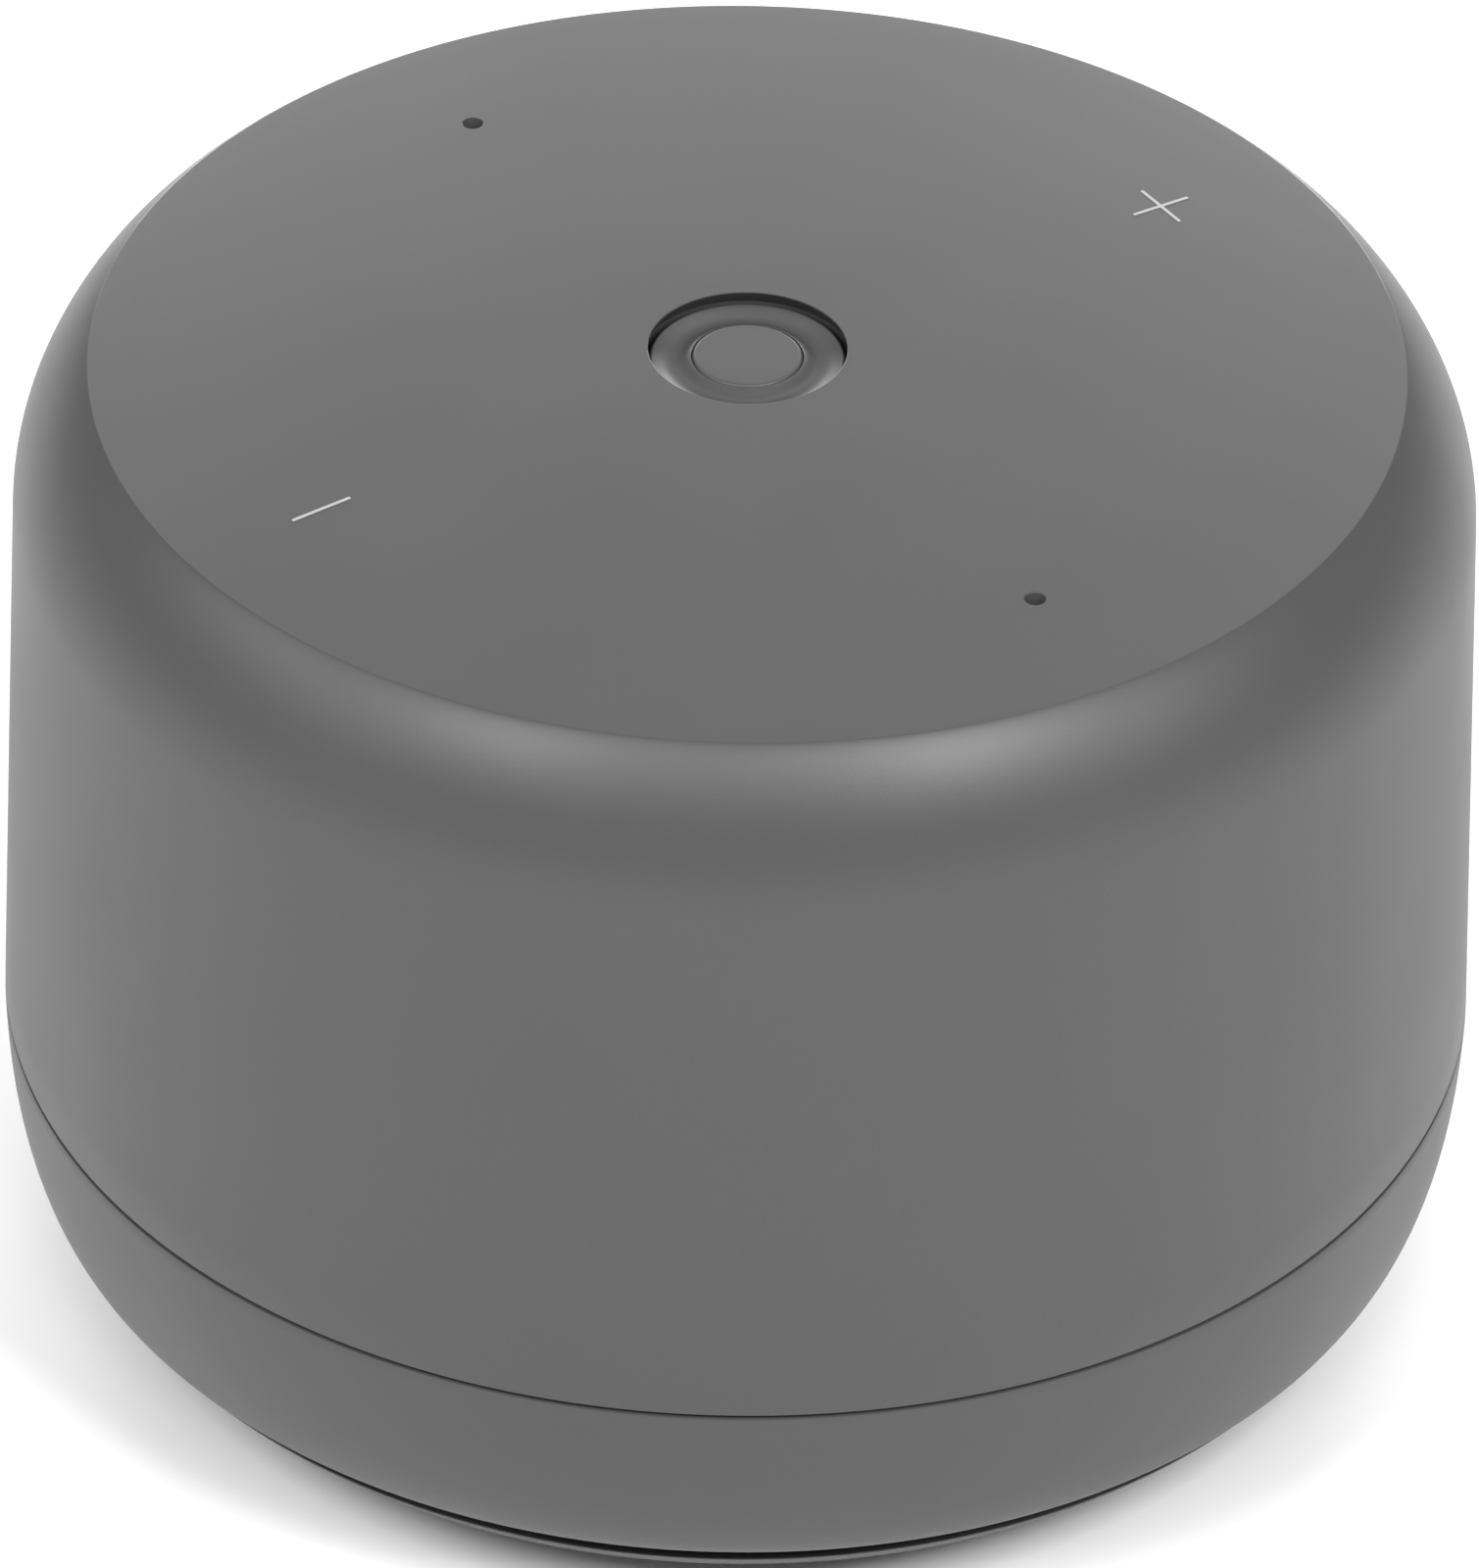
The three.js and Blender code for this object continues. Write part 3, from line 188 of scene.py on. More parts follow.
def turning_tree():
    tree = bpy.data.node_groups.new("Turned profile", "GeometryNodeTree")
    face = tree.interface
    face.new_socket("Profile", in_out="INPUT", socket_type="NodeSocketGeometry")
    sides = face.new_socket("Sides", in_out="INPUT", socket_type="NodeSocketInt")
    sharp = face.new_socket("Sharp Angle", in_out="INPUT", socket_type="NodeSocketFloat")
    finish = face.new_socket("Material", in_out="INPUT", socket_type="NodeSocketMaterial")
    face.new_socket("Turned", in_out="OUTPUT", socket_type="NodeSocketGeometry")
    given = add_node(tree, "NodeGroupInput").outputs
    rows = add_node(tree, "GeometryNodeAttributeDomainSize", links={0: given["Profile"]})
    columns = add_node(tree, "ShaderNodeMath", {"operation": "ADD"}, {1: 1.0}, {0: given["Sides"]})
    grid = add_node(tree, "GeometryNodeMeshGrid",
                    links={"Vertices X": rows.outputs["Point Count"], "Vertices Y": columns.outputs[0]})
    index = add_node(tree, "GeometryNodeInputIndex").outputs[0]
    share = add_node(tree, "ShaderNodeMath", {"operation": "DIVIDE"},
                     links={0: index, 1: columns.outputs[0]})
    row = add_node(tree, "ShaderNodeMath", {"operation": "FLOOR"}, links={0: share.outputs[0]})
    column = add_node(tree, "ShaderNodeMath", {"operation": "MODULO"},
                      links={0: index, 1: columns.outputs[0]})
    place = add_node(tree, "GeometryNodeInputPosition").outputs[0]
    corner = add_node(tree, "GeometryNodeSampleIndex", {"data_type": "FLOAT_VECTOR"},
                      links={"Geometry": given["Profile"], "Value": place, "Index": row.outputs[0]})
    turn = add_node(tree, "ShaderNodeMath", {"operation": "DIVIDE"},
                    links={0: column.outputs[0], 1: given["Sides"]})
    angle = add_node(tree, "ShaderNodeMath", {"operation": "MULTIPLY"}, {1: 2 * math.pi},
                     {0: turn.outputs[0]})
    spun = add_node(tree, "ShaderNodeVectorRotate", {"rotation_type": "Z_AXIS"},
                    links={"Vector": corner.outputs["Value"], "Angle": angle.outputs[0]})
    bent = add_node(tree, "GeometryNodeSetPosition",
                    links={"Geometry": grid.outputs["Mesh"], "Position": spun.outputs[0]})
    welded = add_node(tree, "GeometryNodeMergeByDistance", values={"Distance": WELD_DISTANCE},
                      links={"Geometry": bent.outputs[0]})
    smooth = add_node(tree, "GeometryNodeSetShadeSmooth", {"domain": "FACE"},
                      links={"Geometry": welded.outputs[0]})
    steep = add_node(tree, "GeometryNodeInputMeshEdgeAngle")
    hard = add_node(tree, "FunctionNodeCompare", {"data_type": "FLOAT", "operation": "GREATER_THAN"},
                    links={0: steep.outputs["Unsigned Angle"], 1: given["Sharp Angle"]})
    creased = add_node(tree, "GeometryNodeSetShadeSmooth", {"domain": "EDGE"}, {"Shade Smooth": False},
                       {"Geometry": smooth.outputs[0], "Selection": hard.outputs[0]})
    real = add_node(tree, "GeometryNodeRealizeInstances", links={0: creased.outputs[0]})
    coated = add_node(tree, "GeometryNodeSetMaterial",
                      links={"Geometry": real.outputs[0], "Material": given["Material"]})
    add_node(tree, "NodeGroupOutput", links={0: coated.outputs[0]})
    return tree, {"sides": sides.identifier, "sharp": sharp.identifier, "material": finish.identifier}


turning, turning_inputs = turning_tree()

# %% [markdown]
# ## From the tree to a plain mesh
# A finished piece is a plain mesh whose object sits at the origin. So the tree is evaluated once,
# the result is copied with new_from_object, and the modifier goes away. A profile written in
# millimetres is given its loop direction by its area, so that every face points outwards.

# %% Turning a profile
SIDES = 192
SHARP_ANGLE = math.radians(28)


def new_object(name, mesh):
    made = bpy.data.objects.new(name, mesh)
    bpy.context.scene.collection.objects.link(made)
    return made


def evaluated(piece):
    graph = bpy.context.evaluated_depsgraph_get()
    mesh = bpy.data.meshes.new_from_object(piece.evaluated_get(graph))
    piece.modifiers.clear()
    piece.data = mesh
    mesh.name = piece.name
    return piece


def doubled_area(points):
    following = points[1:] + points[:1]
    return sum(r * z1 - r1 * z for (r, z), (r1, z1) in zip(points, following))


def turned(name, profile, material, sides=SIDES):
    ordered = profile if doubled_area(profile) < 0 else profile[::-1]
    if ordered[0][0] > 0 or ordered[-1][0] > 0:
        ordered = ordered + ordered[:1]
    chain = bpy.data.meshes.new(name)
    chain.from_pydata([(r * MM, 0, z * MM) for r, z in ordered],
                      [(i, i + 1) for i in range(len(ordered) - 1)], [])
    piece = new_object(name, chain)
    lathe = piece.modifiers.new("Turning", "NODES")
    lathe.node_group = turning
    lathe[turning_inputs["sides"]] = sides
    lathe[turning_inputs["sharp"]] = SHARP_ANGLE
    lathe[turning_inputs["material"]] = material
    return evaluated(piece)


def checked(piece):
    mesh = bmesh.new()
    mesh.from_mesh(piece.data)
    open_edges = sum(1 for edge in mesh.edges if len(edge.link_faces) != 2)
    volume = mesh.calc_volume(signed=True) / MM ** 3
    print(f"{piece.name}: {len(mesh.faces)} faces, {volume:.1f} mm3, {open_edges} open edges")
    mesh.free()
    return piece


# %% [markdown]
# ## Corners and curves of a profile
# Moulded plastic has no sharp corner: even a crisp edge has a radius of a tenth or two of a
# millimetre, and that radius catches a thin line of light. One function rounds chosen corners of
# a profile, and another draws a smooth curve between two of its points.

# %% Profile helpers
def curve(start, start_handle, end_handle, end, steps, gather=1.0):
    points = []
    for i in range(steps + 1):
        t = (i / steps) ** gather
        weights = ((1 - t) ** 3, 3 * (1 - t) ** 2 * t, 3 * (1 - t) * t * t, t ** 3)
        corners = (start, start_handle, end_handle, end)
        points.append(tuple(sum(w * c[k] for w, c in zip(weights, corners)) for k in (0, 1)))
    return points


def rounded(points, radii, steps=4):
    """Rounds the corner at each index in radii, with an arc that starts that far from the corner."""
    result = []
    for i, corner in enumerate(points):
        reach = radii.get(i, 0)
        if not reach:
            result.append(corner)
            continue
        before, after = Vector(points[i - 1]), Vector(points[(i + 1) % len(points)])
        here = Vector(corner)
        enter = here + (before - here).normalized() * reach
        leave = here + (after - here).normalized() * reach
        for k in range(steps + 1):
            t = k / steps
            result.append(tuple((1 - t) ** 2 * enter + 2 * t * (1 - t) * here + t * t * leave))
    return result


def mm(node):
    low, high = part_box(node)
    return low / MM, high / MM


# %% [markdown]
# ## The top shell
# This is the big moulding: a top that rises by one millimetre to its middle, a crease, a soft
# shoulder, and a side that leans in by a degree and a half so that it leaves its tool. It could be
# modelled by subdivision, but a turned profile keeps the reflections as even as a real lathe-cut
# tool does. The shoulder turns down quickly at the crease, so its points gather there. The well
# for the button widens below its edge, which leaves a dark gap round the button.

# %% Top shell
shell_high = mm("top_shell")[1]
bowl_low, bowl_high = mm("base_bowl")
SPIGOT_RISE = 3.1
SEAM_R = shell_high.x
LAND_Z = bowl_high.z - SPIGOT_RISE
WALL = 2.2
SEAM_GAP = 0.25
SEAM_DEPTH = 0.8
CROWN = 1.07
HEIGHT = 69.6
SIDE_DRAFT = 0.98
SHOULDER_WIDTH = 4.9
SHOULDER_DROP = 10.4
EDGE_Z = LAND_Z + SEAM_GAP
SEAM_Z = LAND_Z + SEAM_GAP / 2
RIM_R = SEAM_R - SIDE_DRAFT - SHOULDER_WIDTH
RIM_Z = HEIGHT - CROWN
SHOULDER_R = SEAM_R - SIDE_DRAFT
SHOULDER_Z = RIM_Z - SHOULDER_DROP
BUTTON_R = 6.37
HOLE_EDGE = 0.05
WELL_UNDERCUT = 0.5
FACE_STEPS = 26
SHOULDER_STEPS = 36
SIDE_STEPS = 12


def crown(r):
    return RIM_Z + CROWN * (1 - (r / RIM_R) ** 2)


def side_radius(z):
    return SEAM_R - SIDE_DRAFT * (z - SEAM_Z) / (SHOULDER_Z - SEAM_Z)


def top_shell_profile():
    first = BUTTON_R + HOLE_EDGE
    radii = [first + (RIM_R - first) * i / FACE_STEPS for i in range(FACE_STEPS)]
    face = [(r, crown(r)) for r in radii]
    shoulder = curve(
        (RIM_R, RIM_Z),
        (RIM_R + 0.05 * SHOULDER_WIDTH, RIM_Z),
        (SHOULDER_R - 0.17, SHOULDER_Z + 0.61 * SHOULDER_DROP),
        (SHOULDER_R, SHOULDER_Z),
        SHOULDER_STEPS, gather=1.5)
    side_end = EDGE_Z + 0.12
    heights = [SHOULDER_Z + (side_end - SHOULDER_Z) * i / SIDE_STEPS for i in range(1, SIDE_STEPS + 1)]
    side = [(side_radius(z), z) for z in heights]
    groove_r = SEAM_R - SEAM_DEPTH
    edge = [(SEAM_R - 0.04, EDGE_Z + 0.03), (SEAM_R - 0.13, EDGE_Z), (groove_r, EDGE_Z),
            (groove_r, LAND_Z), (SEAM_R - WALL, LAND_Z)]
    inner_r = SHOULDER_R - WALL
    well_r = BUTTON_R + WELL_UNDERCUT
    inside = [(inner_r, SHOULDER_Z), (inner_r - 0.6, SHOULDER_Z + 4.5), (inner_r - 2.4, SHOULDER_Z + 7.4),
              (RIM_R - 0.6, RIM_Z - WALL), (RIM_R / 2, crown(RIM_R / 2) - WALL),
              (well_r, crown(BUTTON_R) - WALL)]
    top = crown(BUTTON_R)
    well = [(well_r, top - 1), (BUTTON_R, top - 0.08), (BUTTON_R + 0.015, top - 0.02)]
    return face + shoulder + side + edge + inside + well


top_shell = checked(turned("top_shell_moulding", top_shell_profile(), shell_abs, sides=256))

# %% [markdown]
# ## The lower shell, the foot plate and the rubber ring
# The lower shell curves in below the seam and ends in a thin lip. A dark slot follows, where the
# sound comes out, and then the edge of the foot plate. The rubber ring below lifts it all a
# little over three millimetres off the table.

# %% Lower shell, foot plate, rubber ring and slot cloth
plate_low, plate_high = mm("foot_plate")
ring_high = mm("rubber_foot")[1]
cloth_low, cloth_high = mm("slot_mesh")
LIP_R = 44.9
LIP_Z = bowl_low.z
LIP_WALL = 1.5
FLOOR_Z = cloth_high.z
FLOOR_TOP_Z = FLOOR_Z + 2.2
CONE_OPENING_R = 24.6
SPIGOT_OUTER_R = SEAM_R - WALL - 0.3
SPIGOT_INNER_R = SPIGOT_OUTER_R - 1.4
FOOT_BEVEL = 1.85
FOOT_EDGE_Z = 5.5
FOOT_THICK = 2.4
UNDER_RECESS = 0.3
HUB_R = 21
RING_WIDTH = 9
RING_GAP = 0.3
CLOTH_THICK = 0.4
BOWL_STEPS = 40


def bowl_profile():
    chamfer = 0.16
    outside = curve(
        (SEAM_R, LAND_Z - chamfer),
        (SEAM_R - 0.27, SEAM_Z - 0.75 * (SEAM_Z - LIP_Z)),
        (LIP_R + 0.46, LIP_Z + 0.13),
        (LIP_R, LIP_Z),
        BOWL_STEPS)
    lip = [
        (LIP_R - 0.5, LIP_Z + 0.02),
        (LIP_R - LIP_WALL + 0.2, LIP_Z + 0.15),
        (LIP_R - LIP_WALL, LIP_Z + 0.4),
    ]
    inside = [
        (LIP_R - LIP_WALL - 0.4, FLOOR_Z),
        (CONE_OPENING_R + 0.8, FLOOR_Z),
        (CONE_OPENING_R, FLOOR_Z + 0.8),
        (CONE_OPENING_R, FLOOR_TOP_Z),
        (SPIGOT_INNER_R, FLOOR_TOP_Z),
        (SPIGOT_INNER_R, bowl_high.z),
        (SPIGOT_OUTER_R, bowl_high.z),
        (SPIGOT_OUTER_R, LAND_Z),
        (SEAM_R - chamfer, LAND_Z),
        (SEAM_R - 0.3 * chamfer, LAND_Z - 0.3 * chamfer),
    ]
    return outside + lip + inside


def foot_plate_profile():
    edge_r = plate_high.x
    under = plate_low.z
    top = under + FOOT_THICK
    ring_in = ring_high.x - RING_WIDTH - RING_GAP
    ring_out = ring_high.x + RING_GAP
    corners = [
        (0, under + UNDER_RECESS),
        (ring_in - 3, under + UNDER_RECESS),
        (ring_in - 3, under),
        (ring_in, under),
        (ring_in, ring_high.z),
        (ring_out, ring_high.z),
        (ring_out, under),
        (edge_r - FOOT_BEVEL - 1.2, under),
        (edge_r - FOOT_BEVEL, FOOT_EDGE_Z - FOOT_BEVEL),
        (edge_r, FOOT_EDGE_Z),
        (edge_r - 0.5, top),
        (HUB_R, top),
    ]
    cone = curve((HUB_R, top), (12, top), (7, 9), (2, FLOOR_Z + 1.2), 20)
    body = rounded(corners, {1: 0.15, 2: 0.2, 3: 0.3, 6: 0.3, 7: 0.5, 8: 0.5, 9: 0.18, 10: 0.2})
    return body[:-1] + cone + [(0.8, FLOOR_Z + 1.45), (0, FLOOR_Z + 1.5)]


def rubber_ring_profile():
    outer, inner = ring_high.x, ring_high.x - RING_WIDTH
    corners = [(inner, 0), (outer, 0), (outer, ring_high.z), (inner, ring_high.z)]
    return rounded(corners, {0: 0.6, 1: 0.6}, steps=6)


def slot_cloth_profile():
    inner, outer = cloth_high.x - CLOTH_THICK, cloth_high.x
    return [(inner, cloth_low.z), (outer, cloth_low.z), (outer, cloth_high.z), (inner, cloth_high.z)]


# Rubber is darker and duller than the shells. The cloth has no gloss, and its near-black colour is partly
# its own and partly painted shade, so the slot looks deep.
rubber = moulded_plastic("Thermoplastic rubber, moulded", "#242424", 0.75, pit_depth=0.01 * MM)
# Painted shade: the cloth's near-black colour also stands in for the shadow deep in the slot.
slot_cloth_as_shade = moulded_plastic("Acoustic cloth, woven polyester", "#141414", 0.9, pit_depth=0.03 * MM)
base_bowl = checked(turned("base_bowl_moulding", bowl_profile(), shell_abs, sides=256))
foot_plate = checked(turned("foot_plate_moulding", foot_plate_profile(), shell_abs, sides=256))
rubber_foot = checked(turned("rubber_foot_ring", rubber_ring_profile(), rubber))
slot_band = checked(turned("slot_cloth_band", slot_cloth_profile(), slot_cloth_as_shade))

# %% [markdown]
# ## The button
# A ring sits just below the rim of the well in the top. Its rounded dish sinks by a third of a
# millimetre and rises again to a round pad in the middle, where the finger rests. Ring and pad are
# separate mouldings, since light comes through the pad.

# %% Button ring and pad
cap_low, cap_high = mm("button_cap")
lens_low, lens_high = mm("button_lens")
BUTTON_GAP = 0.12
DISH_DEPTH = 0.32
SEAT_RISE = 1.1
FLANGE_THICK = 0.8
CAP_BORE_R = 1.6
LENS_STEM_R = 1.3
LENS_GAP = 0.06
LENS_R = lens_high.x


def button_ring_profile():
    outer = BUTTON_R - BUTTON_GAP
    rim = cap_high.z
    dish = rim - DISH_DEPTH
    bottom = cap_low.z
    seat = bottom + SEAT_RISE
    flange = bottom + FLANGE_THICK
    middle = LENS_R + 1.15
    pad_r, pad_edge = LENS_R + LENS_GAP, lens_high.z - 0.12
    slope = curve((outer - 0.14, rim), (outer - 0.8, rim - 0.16), (middle + 0.6, dish), (middle, dish), 14)
    rise = curve((middle, dish), (middle - 0.5, dish), (LENS_R + 0.4, pad_edge - 0.1),
                 (pad_r, pad_edge), 12)
    skirt = [(CAP_BORE_R, bottom), (cap_high.x, bottom), (cap_high.x, flange), (outer, flange)]
    rim_edge = [(outer, rim - 0.14), (outer - 0.04, rim - 0.04)]
    return skirt + rim_edge + slope + rise[1:] + [(pad_r, seat), (CAP_BORE_R, seat)]


def button_pad_profile():
    top = lens_high.z
    seat = cap_low.z + SEAT_RISE
    corners = [(0, lens_low.z), (LENS_STEM_R, lens_low.z), (LENS_STEM_R, seat), (LENS_R, seat),
               (LENS_R, top), (0, top)]
    return rounded(corners, {4: 0.3}, steps=8)


# The pad's paint is a shade lighter and duller than the shell, so that it stands out softly.
pad_paint = moulded_plastic("Painted polycarbonate pad", "#454545", 0.44)
button_ring = checked(turned("button_ring", button_ring_profile(), shell_abs, sides=128))
button_pad = checked(turned("button_pad", button_pad_profile(), pad_paint, sides=128))

# %% [markdown]
# ## The printed marks
# The plus and the minus are pad-printed: a thin, even film of light ink. Each mark is one outline,
# raised to a film two hundredths of a millimetre thick. It is cut into narrow strips, which let it
# follow the crown of the top. The ink is matt, so that no reflection breaks its fine strokes.
# Its faces are written in a sorted order, so that each run gives the same mesh.

# %% Plus and minus
MARK_R = 32.26
MARK_LENGTH = 4.3
MARK_STROKE = 0.24
INK_LIFT = 0.004
INK_THICK = 0.02
STRIP_WIDTH = 0.24
HALF_STRIPS = 9
ink = moulded_plastic("Pad-printed ink", "#a6a6a6", 0.6)


def ink_outline(centre, crossed):
    half, line = MARK_LENGTH / 2, MARK_STROKE / 2
    if not crossed:
        return [(centre - half, -line), (centre + half, -line),
                (centre + half, line), (centre - half, line)]
    quarter = [(half, -line), (half, line), (line, line)]
    outline = []
    for turn in range(4):
        for x, y in quarter:
            for _ in range(turn):
                x, y = -y, x
            outline.append((centre + x, y))
    return outline


def ink_mark(name, centre, crossed):
    sheet = bmesh.new()
    face = sheet.faces.new([sheet.verts.new((x, y, 0)) for x, y in ink_outline(centre, crossed)])
    raised = bmesh.ops.extrude_face_region(sheet, geom=[face])["geom"]
    for vertex in (item for item in raised if isinstance(item, bmesh.types.BMVert)):
        vertex.co.z = INK_THICK
    for strip in range(-HALF_STRIPS, HALF_STRIPS + 1):
        everything = sheet.verts[:] + sheet.edges[:] + sheet.faces[:]
        place = (centre + strip * STRIP_WIDTH, 0, 0)
        bmesh.ops.bisect_plane(sheet, geom=everything, plane_co=place, plane_no=(1, 0, 0))
    for vertex in sheet.verts:
        x, y, z = vertex.co
        vertex.co = Vector((x, y, z + INK_LIFT + crown(math.hypot(x, y)))) * MM
    bmesh.ops.recalc_face_normals(sheet, faces=sheet.faces[:])
    sheet.verts.index_update()
    rings = []
    for face in sheet.faces:
        ring = [vertex.index for vertex in face.verts]
        first = ring.index(min(ring))
        rings.append(ring[first:] + ring[:first])
    mesh = bpy.data.meshes.new(name)
    mesh.from_pydata([vertex.co for vertex in sheet.verts], [], sorted(rings))
    sheet.free()
    mesh.materials.append(ink)
    return checked(new_object(name, mesh))


plus_print = ink_mark("plus_print", MARK_R, True)
minus_print = ink_mark("minus_print", -MARK_R, False)

# %% [markdown]
# ## Holes in the top shell
# The two microphone holes and the two openings at the back are cut with a boolean, since they
# break the symmetry of the turned shell. Each microphone hole's cutter is itself turned, and flares
# a little at its mouth, which leaves a soft edge.

# %% Cutting the microphone holes
MIC_HOLE_R = 0.65
MIC_FLARE = 0.1
MIC_CUT_DEPTH = 4


def mic_cutter(side):
    top = crown(MARK_R)
    profile = [
        (0, top - MIC_CUT_DEPTH),
        (MIC_HOLE_R, top - MIC_CUT_DEPTH),
        (MIC_HOLE_R, top - MIC_FLARE),
        (MIC_HOLE_R + 0.3 * MIC_FLARE, top - 0.3 * MIC_FLARE),
        (MIC_HOLE_R + MIC_FLARE, top + 0.02),
        (MIC_HOLE_R + MIC_FLARE, top + 1),
        (0, top + 1),
    ]
    cutter = turned("cutter", profile, shell_abs, sides=48)
    cutter.data.transform(Matrix.Translation((0, side * MARK_R * MM, 0)))
    cutter.data.update()
    return cutter


def cut(piece, cutters):
    for cutter in cutters:
        knife = piece.modifiers.new("Cut", "BOOLEAN")
        knife.object = cutter
        knife.solver = "EXACT"
    evaluated(piece)
    for cutter in cutters:
        bpy.data.objects.remove(cutter)
    piece.data.set_sharp_from_angle(angle=SHARP_ANGLE)
    return checked(piece)


cut(top_shell, [mic_cutter(1), mic_cutter(-1)])

# %% [markdown]
# ## The opening and the pocket at the back
# The power socket sits behind a rounded opening at the bottom of a shallow recess, and the mute
# slider runs in a pocket beside it. Their cutters are outlines with round ends, pushed along Y.
# Recess, port and pocket have flared mouths, since a moulding tool leaves a soft edge there.

# %% Outlines pushed along Y
PORT_WIDTH = 8.94
PORT_HEIGHT = 3.26
SWITCH_ANGLE = math.radians(-24)
SWITCH_TRAVEL = 2
KNOB_WIDTH = 4.6
KNOB_HEIGHT = 2.4
GAP = 0.3
RECESS_WIDTH = 12.8
RECESS_HEIGHT = 7
RECESS_DEPTH = 0.9
RECESS_FLARE = 1
PORT_GAP = 0.7
POCKET_DEPTH = 1.2
POCKET_FLARE = 1.4
FLOOR_ROUND = 0.3
STEM_SLOT_WIDTH = 4.6
STEM_SLOT_HEIGHT = 1.8
PAST_WALL = 1.5
MERGE_DISTANCE = 0.0005 * MM
socket_low, socket_high = mm("power_socket")
slider_low, slider_high = mm("mute_slider")
PORT_Z = (socket_low.z + socket_high.z) / 2
SWITCH_Z = (slider_low.z + slider_high.z) / 2
POCKET_Y = side_radius(SWITCH_Z) - POCKET_DEPTH


def round_ended(width, height, radius=None, steps=10):
    radius = height / 2 if radius is None else radius
    across, upward = width / 2 - radius, height / 2 - radius
    outline = []
    for quarter, (sx, sz) in enumerate(((1, 1), (-1, 1), (-1, -1), (1, -1))):
        for k in range(steps + 1):
            angle = (quarter + k / steps) * math.pi / 2
            outline.append((sx * across + radius * math.cos(angle),
                            sz * upward + radius * math.sin(angle)))
    return outline


def pushed(name, rings, material, centre_z, turn=0.0):
    """A closed bar through rings of the same length; each ring is (y, outline)."""
    mesh = bmesh.new()
    loops = []
    for y, outline in rings:
        loops.append([mesh.verts.new((x * MM, y * MM, (z + centre_z) * MM)) for x, z in outline])
    count = len(loops[0])
    for near, far in zip(loops, loops[1:]):
        for i in range(count):
            mesh.faces.new((near[i], near[(i + 1) % count], far[(i + 1) % count], far[i]))
    mesh.faces.new(loops[0])
    mesh.faces.new(loops[-1])
    bmesh.ops.remove_doubles(mesh, verts=mesh.verts[:], dist=MERGE_DISTANCE)
    bmesh.ops.recalc_face_normals(mesh, faces=mesh.faces[:])
    bmesh.ops.rotate(mesh, verts=mesh.verts[:], cent=(0, 0, 0), matrix=Matrix.Rotation(turn, 3, "Z"))
    data = bpy.data.meshes.new(name)
    mesh.to_mesh(data)
    mesh.free()
    data.materials.append(material)
    return new_object(name, data)


recess_y = side_radius(PORT_Z) - RECESS_DEPTH
port_recess = pushed("recess_cutter", [
    (recess_y, round_ended(RECESS_WIDTH - FLOOR_ROUND, RECESS_HEIGHT - FLOOR_ROUND)),
    (recess_y + FLOOR_ROUND / 2, round_ended(RECESS_WIDTH, RECESS_HEIGHT)),
    (side_radius(PORT_Z) - 0.25, round_ended(RECESS_WIDTH, RECESS_HEIGHT)),
    (SEAM_R + PAST_WALL, round_ended(RECESS_WIDTH + RECESS_FLARE, RECESS_HEIGHT + RECESS_FLARE)),
], shell_abs, PORT_Z)
hole_width, hole_height = PORT_WIDTH + PORT_GAP, PORT_HEIGHT + PORT_GAP
port_hole = pushed("port_cutter", [
    (socket_high.y - 2, round_ended(hole_width, hole_height)),
    (recess_y - 0.2, round_ended(hole_width, hole_height)),
    (recess_y + 0.3, round_ended(hole_width + 1, hole_height + 1)),
], shell_abs, PORT_Z)
pocket_width = KNOB_WIDTH + SWITCH_TRAVEL + 2 * GAP
pocket_height = KNOB_HEIGHT + 2 * GAP
slider_pocket = pushed("pocket_cutter", [
    (POCKET_Y, round_ended(pocket_width - FLOOR_ROUND, pocket_height - FLOOR_ROUND, 0.5)),
    (POCKET_Y + FLOOR_ROUND / 2, round_ended(pocket_width, pocket_height, 0.65)),
    (side_radius(SWITCH_Z) - 0.2, round_ended(pocket_width, pocket_height, 0.65)),
    (SEAM_R + PAST_WALL, round_ended(pocket_width + POCKET_FLARE, pocket_height + POCKET_FLARE, 1.3)),
], shell_abs, SWITCH_Z, SWITCH_ANGLE)
stem_slot = pushed("stem_cutter", [
    (POCKET_Y - 3, round_ended(STEM_SLOT_WIDTH, STEM_SLOT_HEIGHT, 0.3)),
    (POCKET_Y + 1, round_ended(STEM_SLOT_WIDTH, STEM_SLOT_HEIGHT, 0.3)),
], shell_abs, SWITCH_Z, SWITCH_ANGLE)
cut(top_shell, [port_recess, port_hole, slider_pocket, stem_slot])

# %% [markdown]
# ## The power socket and the mute slider
# The socket is a drawn steel tube with a plastic tongue down its middle, as small power sockets
# are. The slider's knob carries three ribs for the fingernail.

# %% Plain finishes for metal and small plastics
GRAIN_SPACING = 0.3 * MM
GRAIN_DEPTH = 0.002 * MM
METAL_GLOSS_SPREAD = 0.06


def fine_metal(name, colour, roughness):
    material, tree, shader = new_material(name, colour, roughness, metallic=1.0)
    place = add_node(tree, "ShaderNodeTexCoord").outputs["Object"]
    grain = add_node(tree, "ShaderNodeTexNoise", values={"Scale": 1 / GRAIN_SPACING, "Detail": 2.0},
                     links={"Vector": place})
    bump = add_node(tree, "ShaderNodeBump", values={"Distance": GRAIN_DEPTH},
                    links={"Height": grain.outputs["Fac"]})
    gloss = add_node(tree, "ShaderNodeMapRange",
                     values={"To Min": roughness - METAL_GLOSS_SPREAD,
                             "To Max": roughness + METAL_GLOSS_SPREAD},
                     links={"Value": grain.outputs["Fac"]})
    tree.links.new(bump.outputs["Normal"], shader.inputs["Normal"])
    tree.links.new(gloss.outputs["Result"], shader.inputs["Roughness"])
    return material


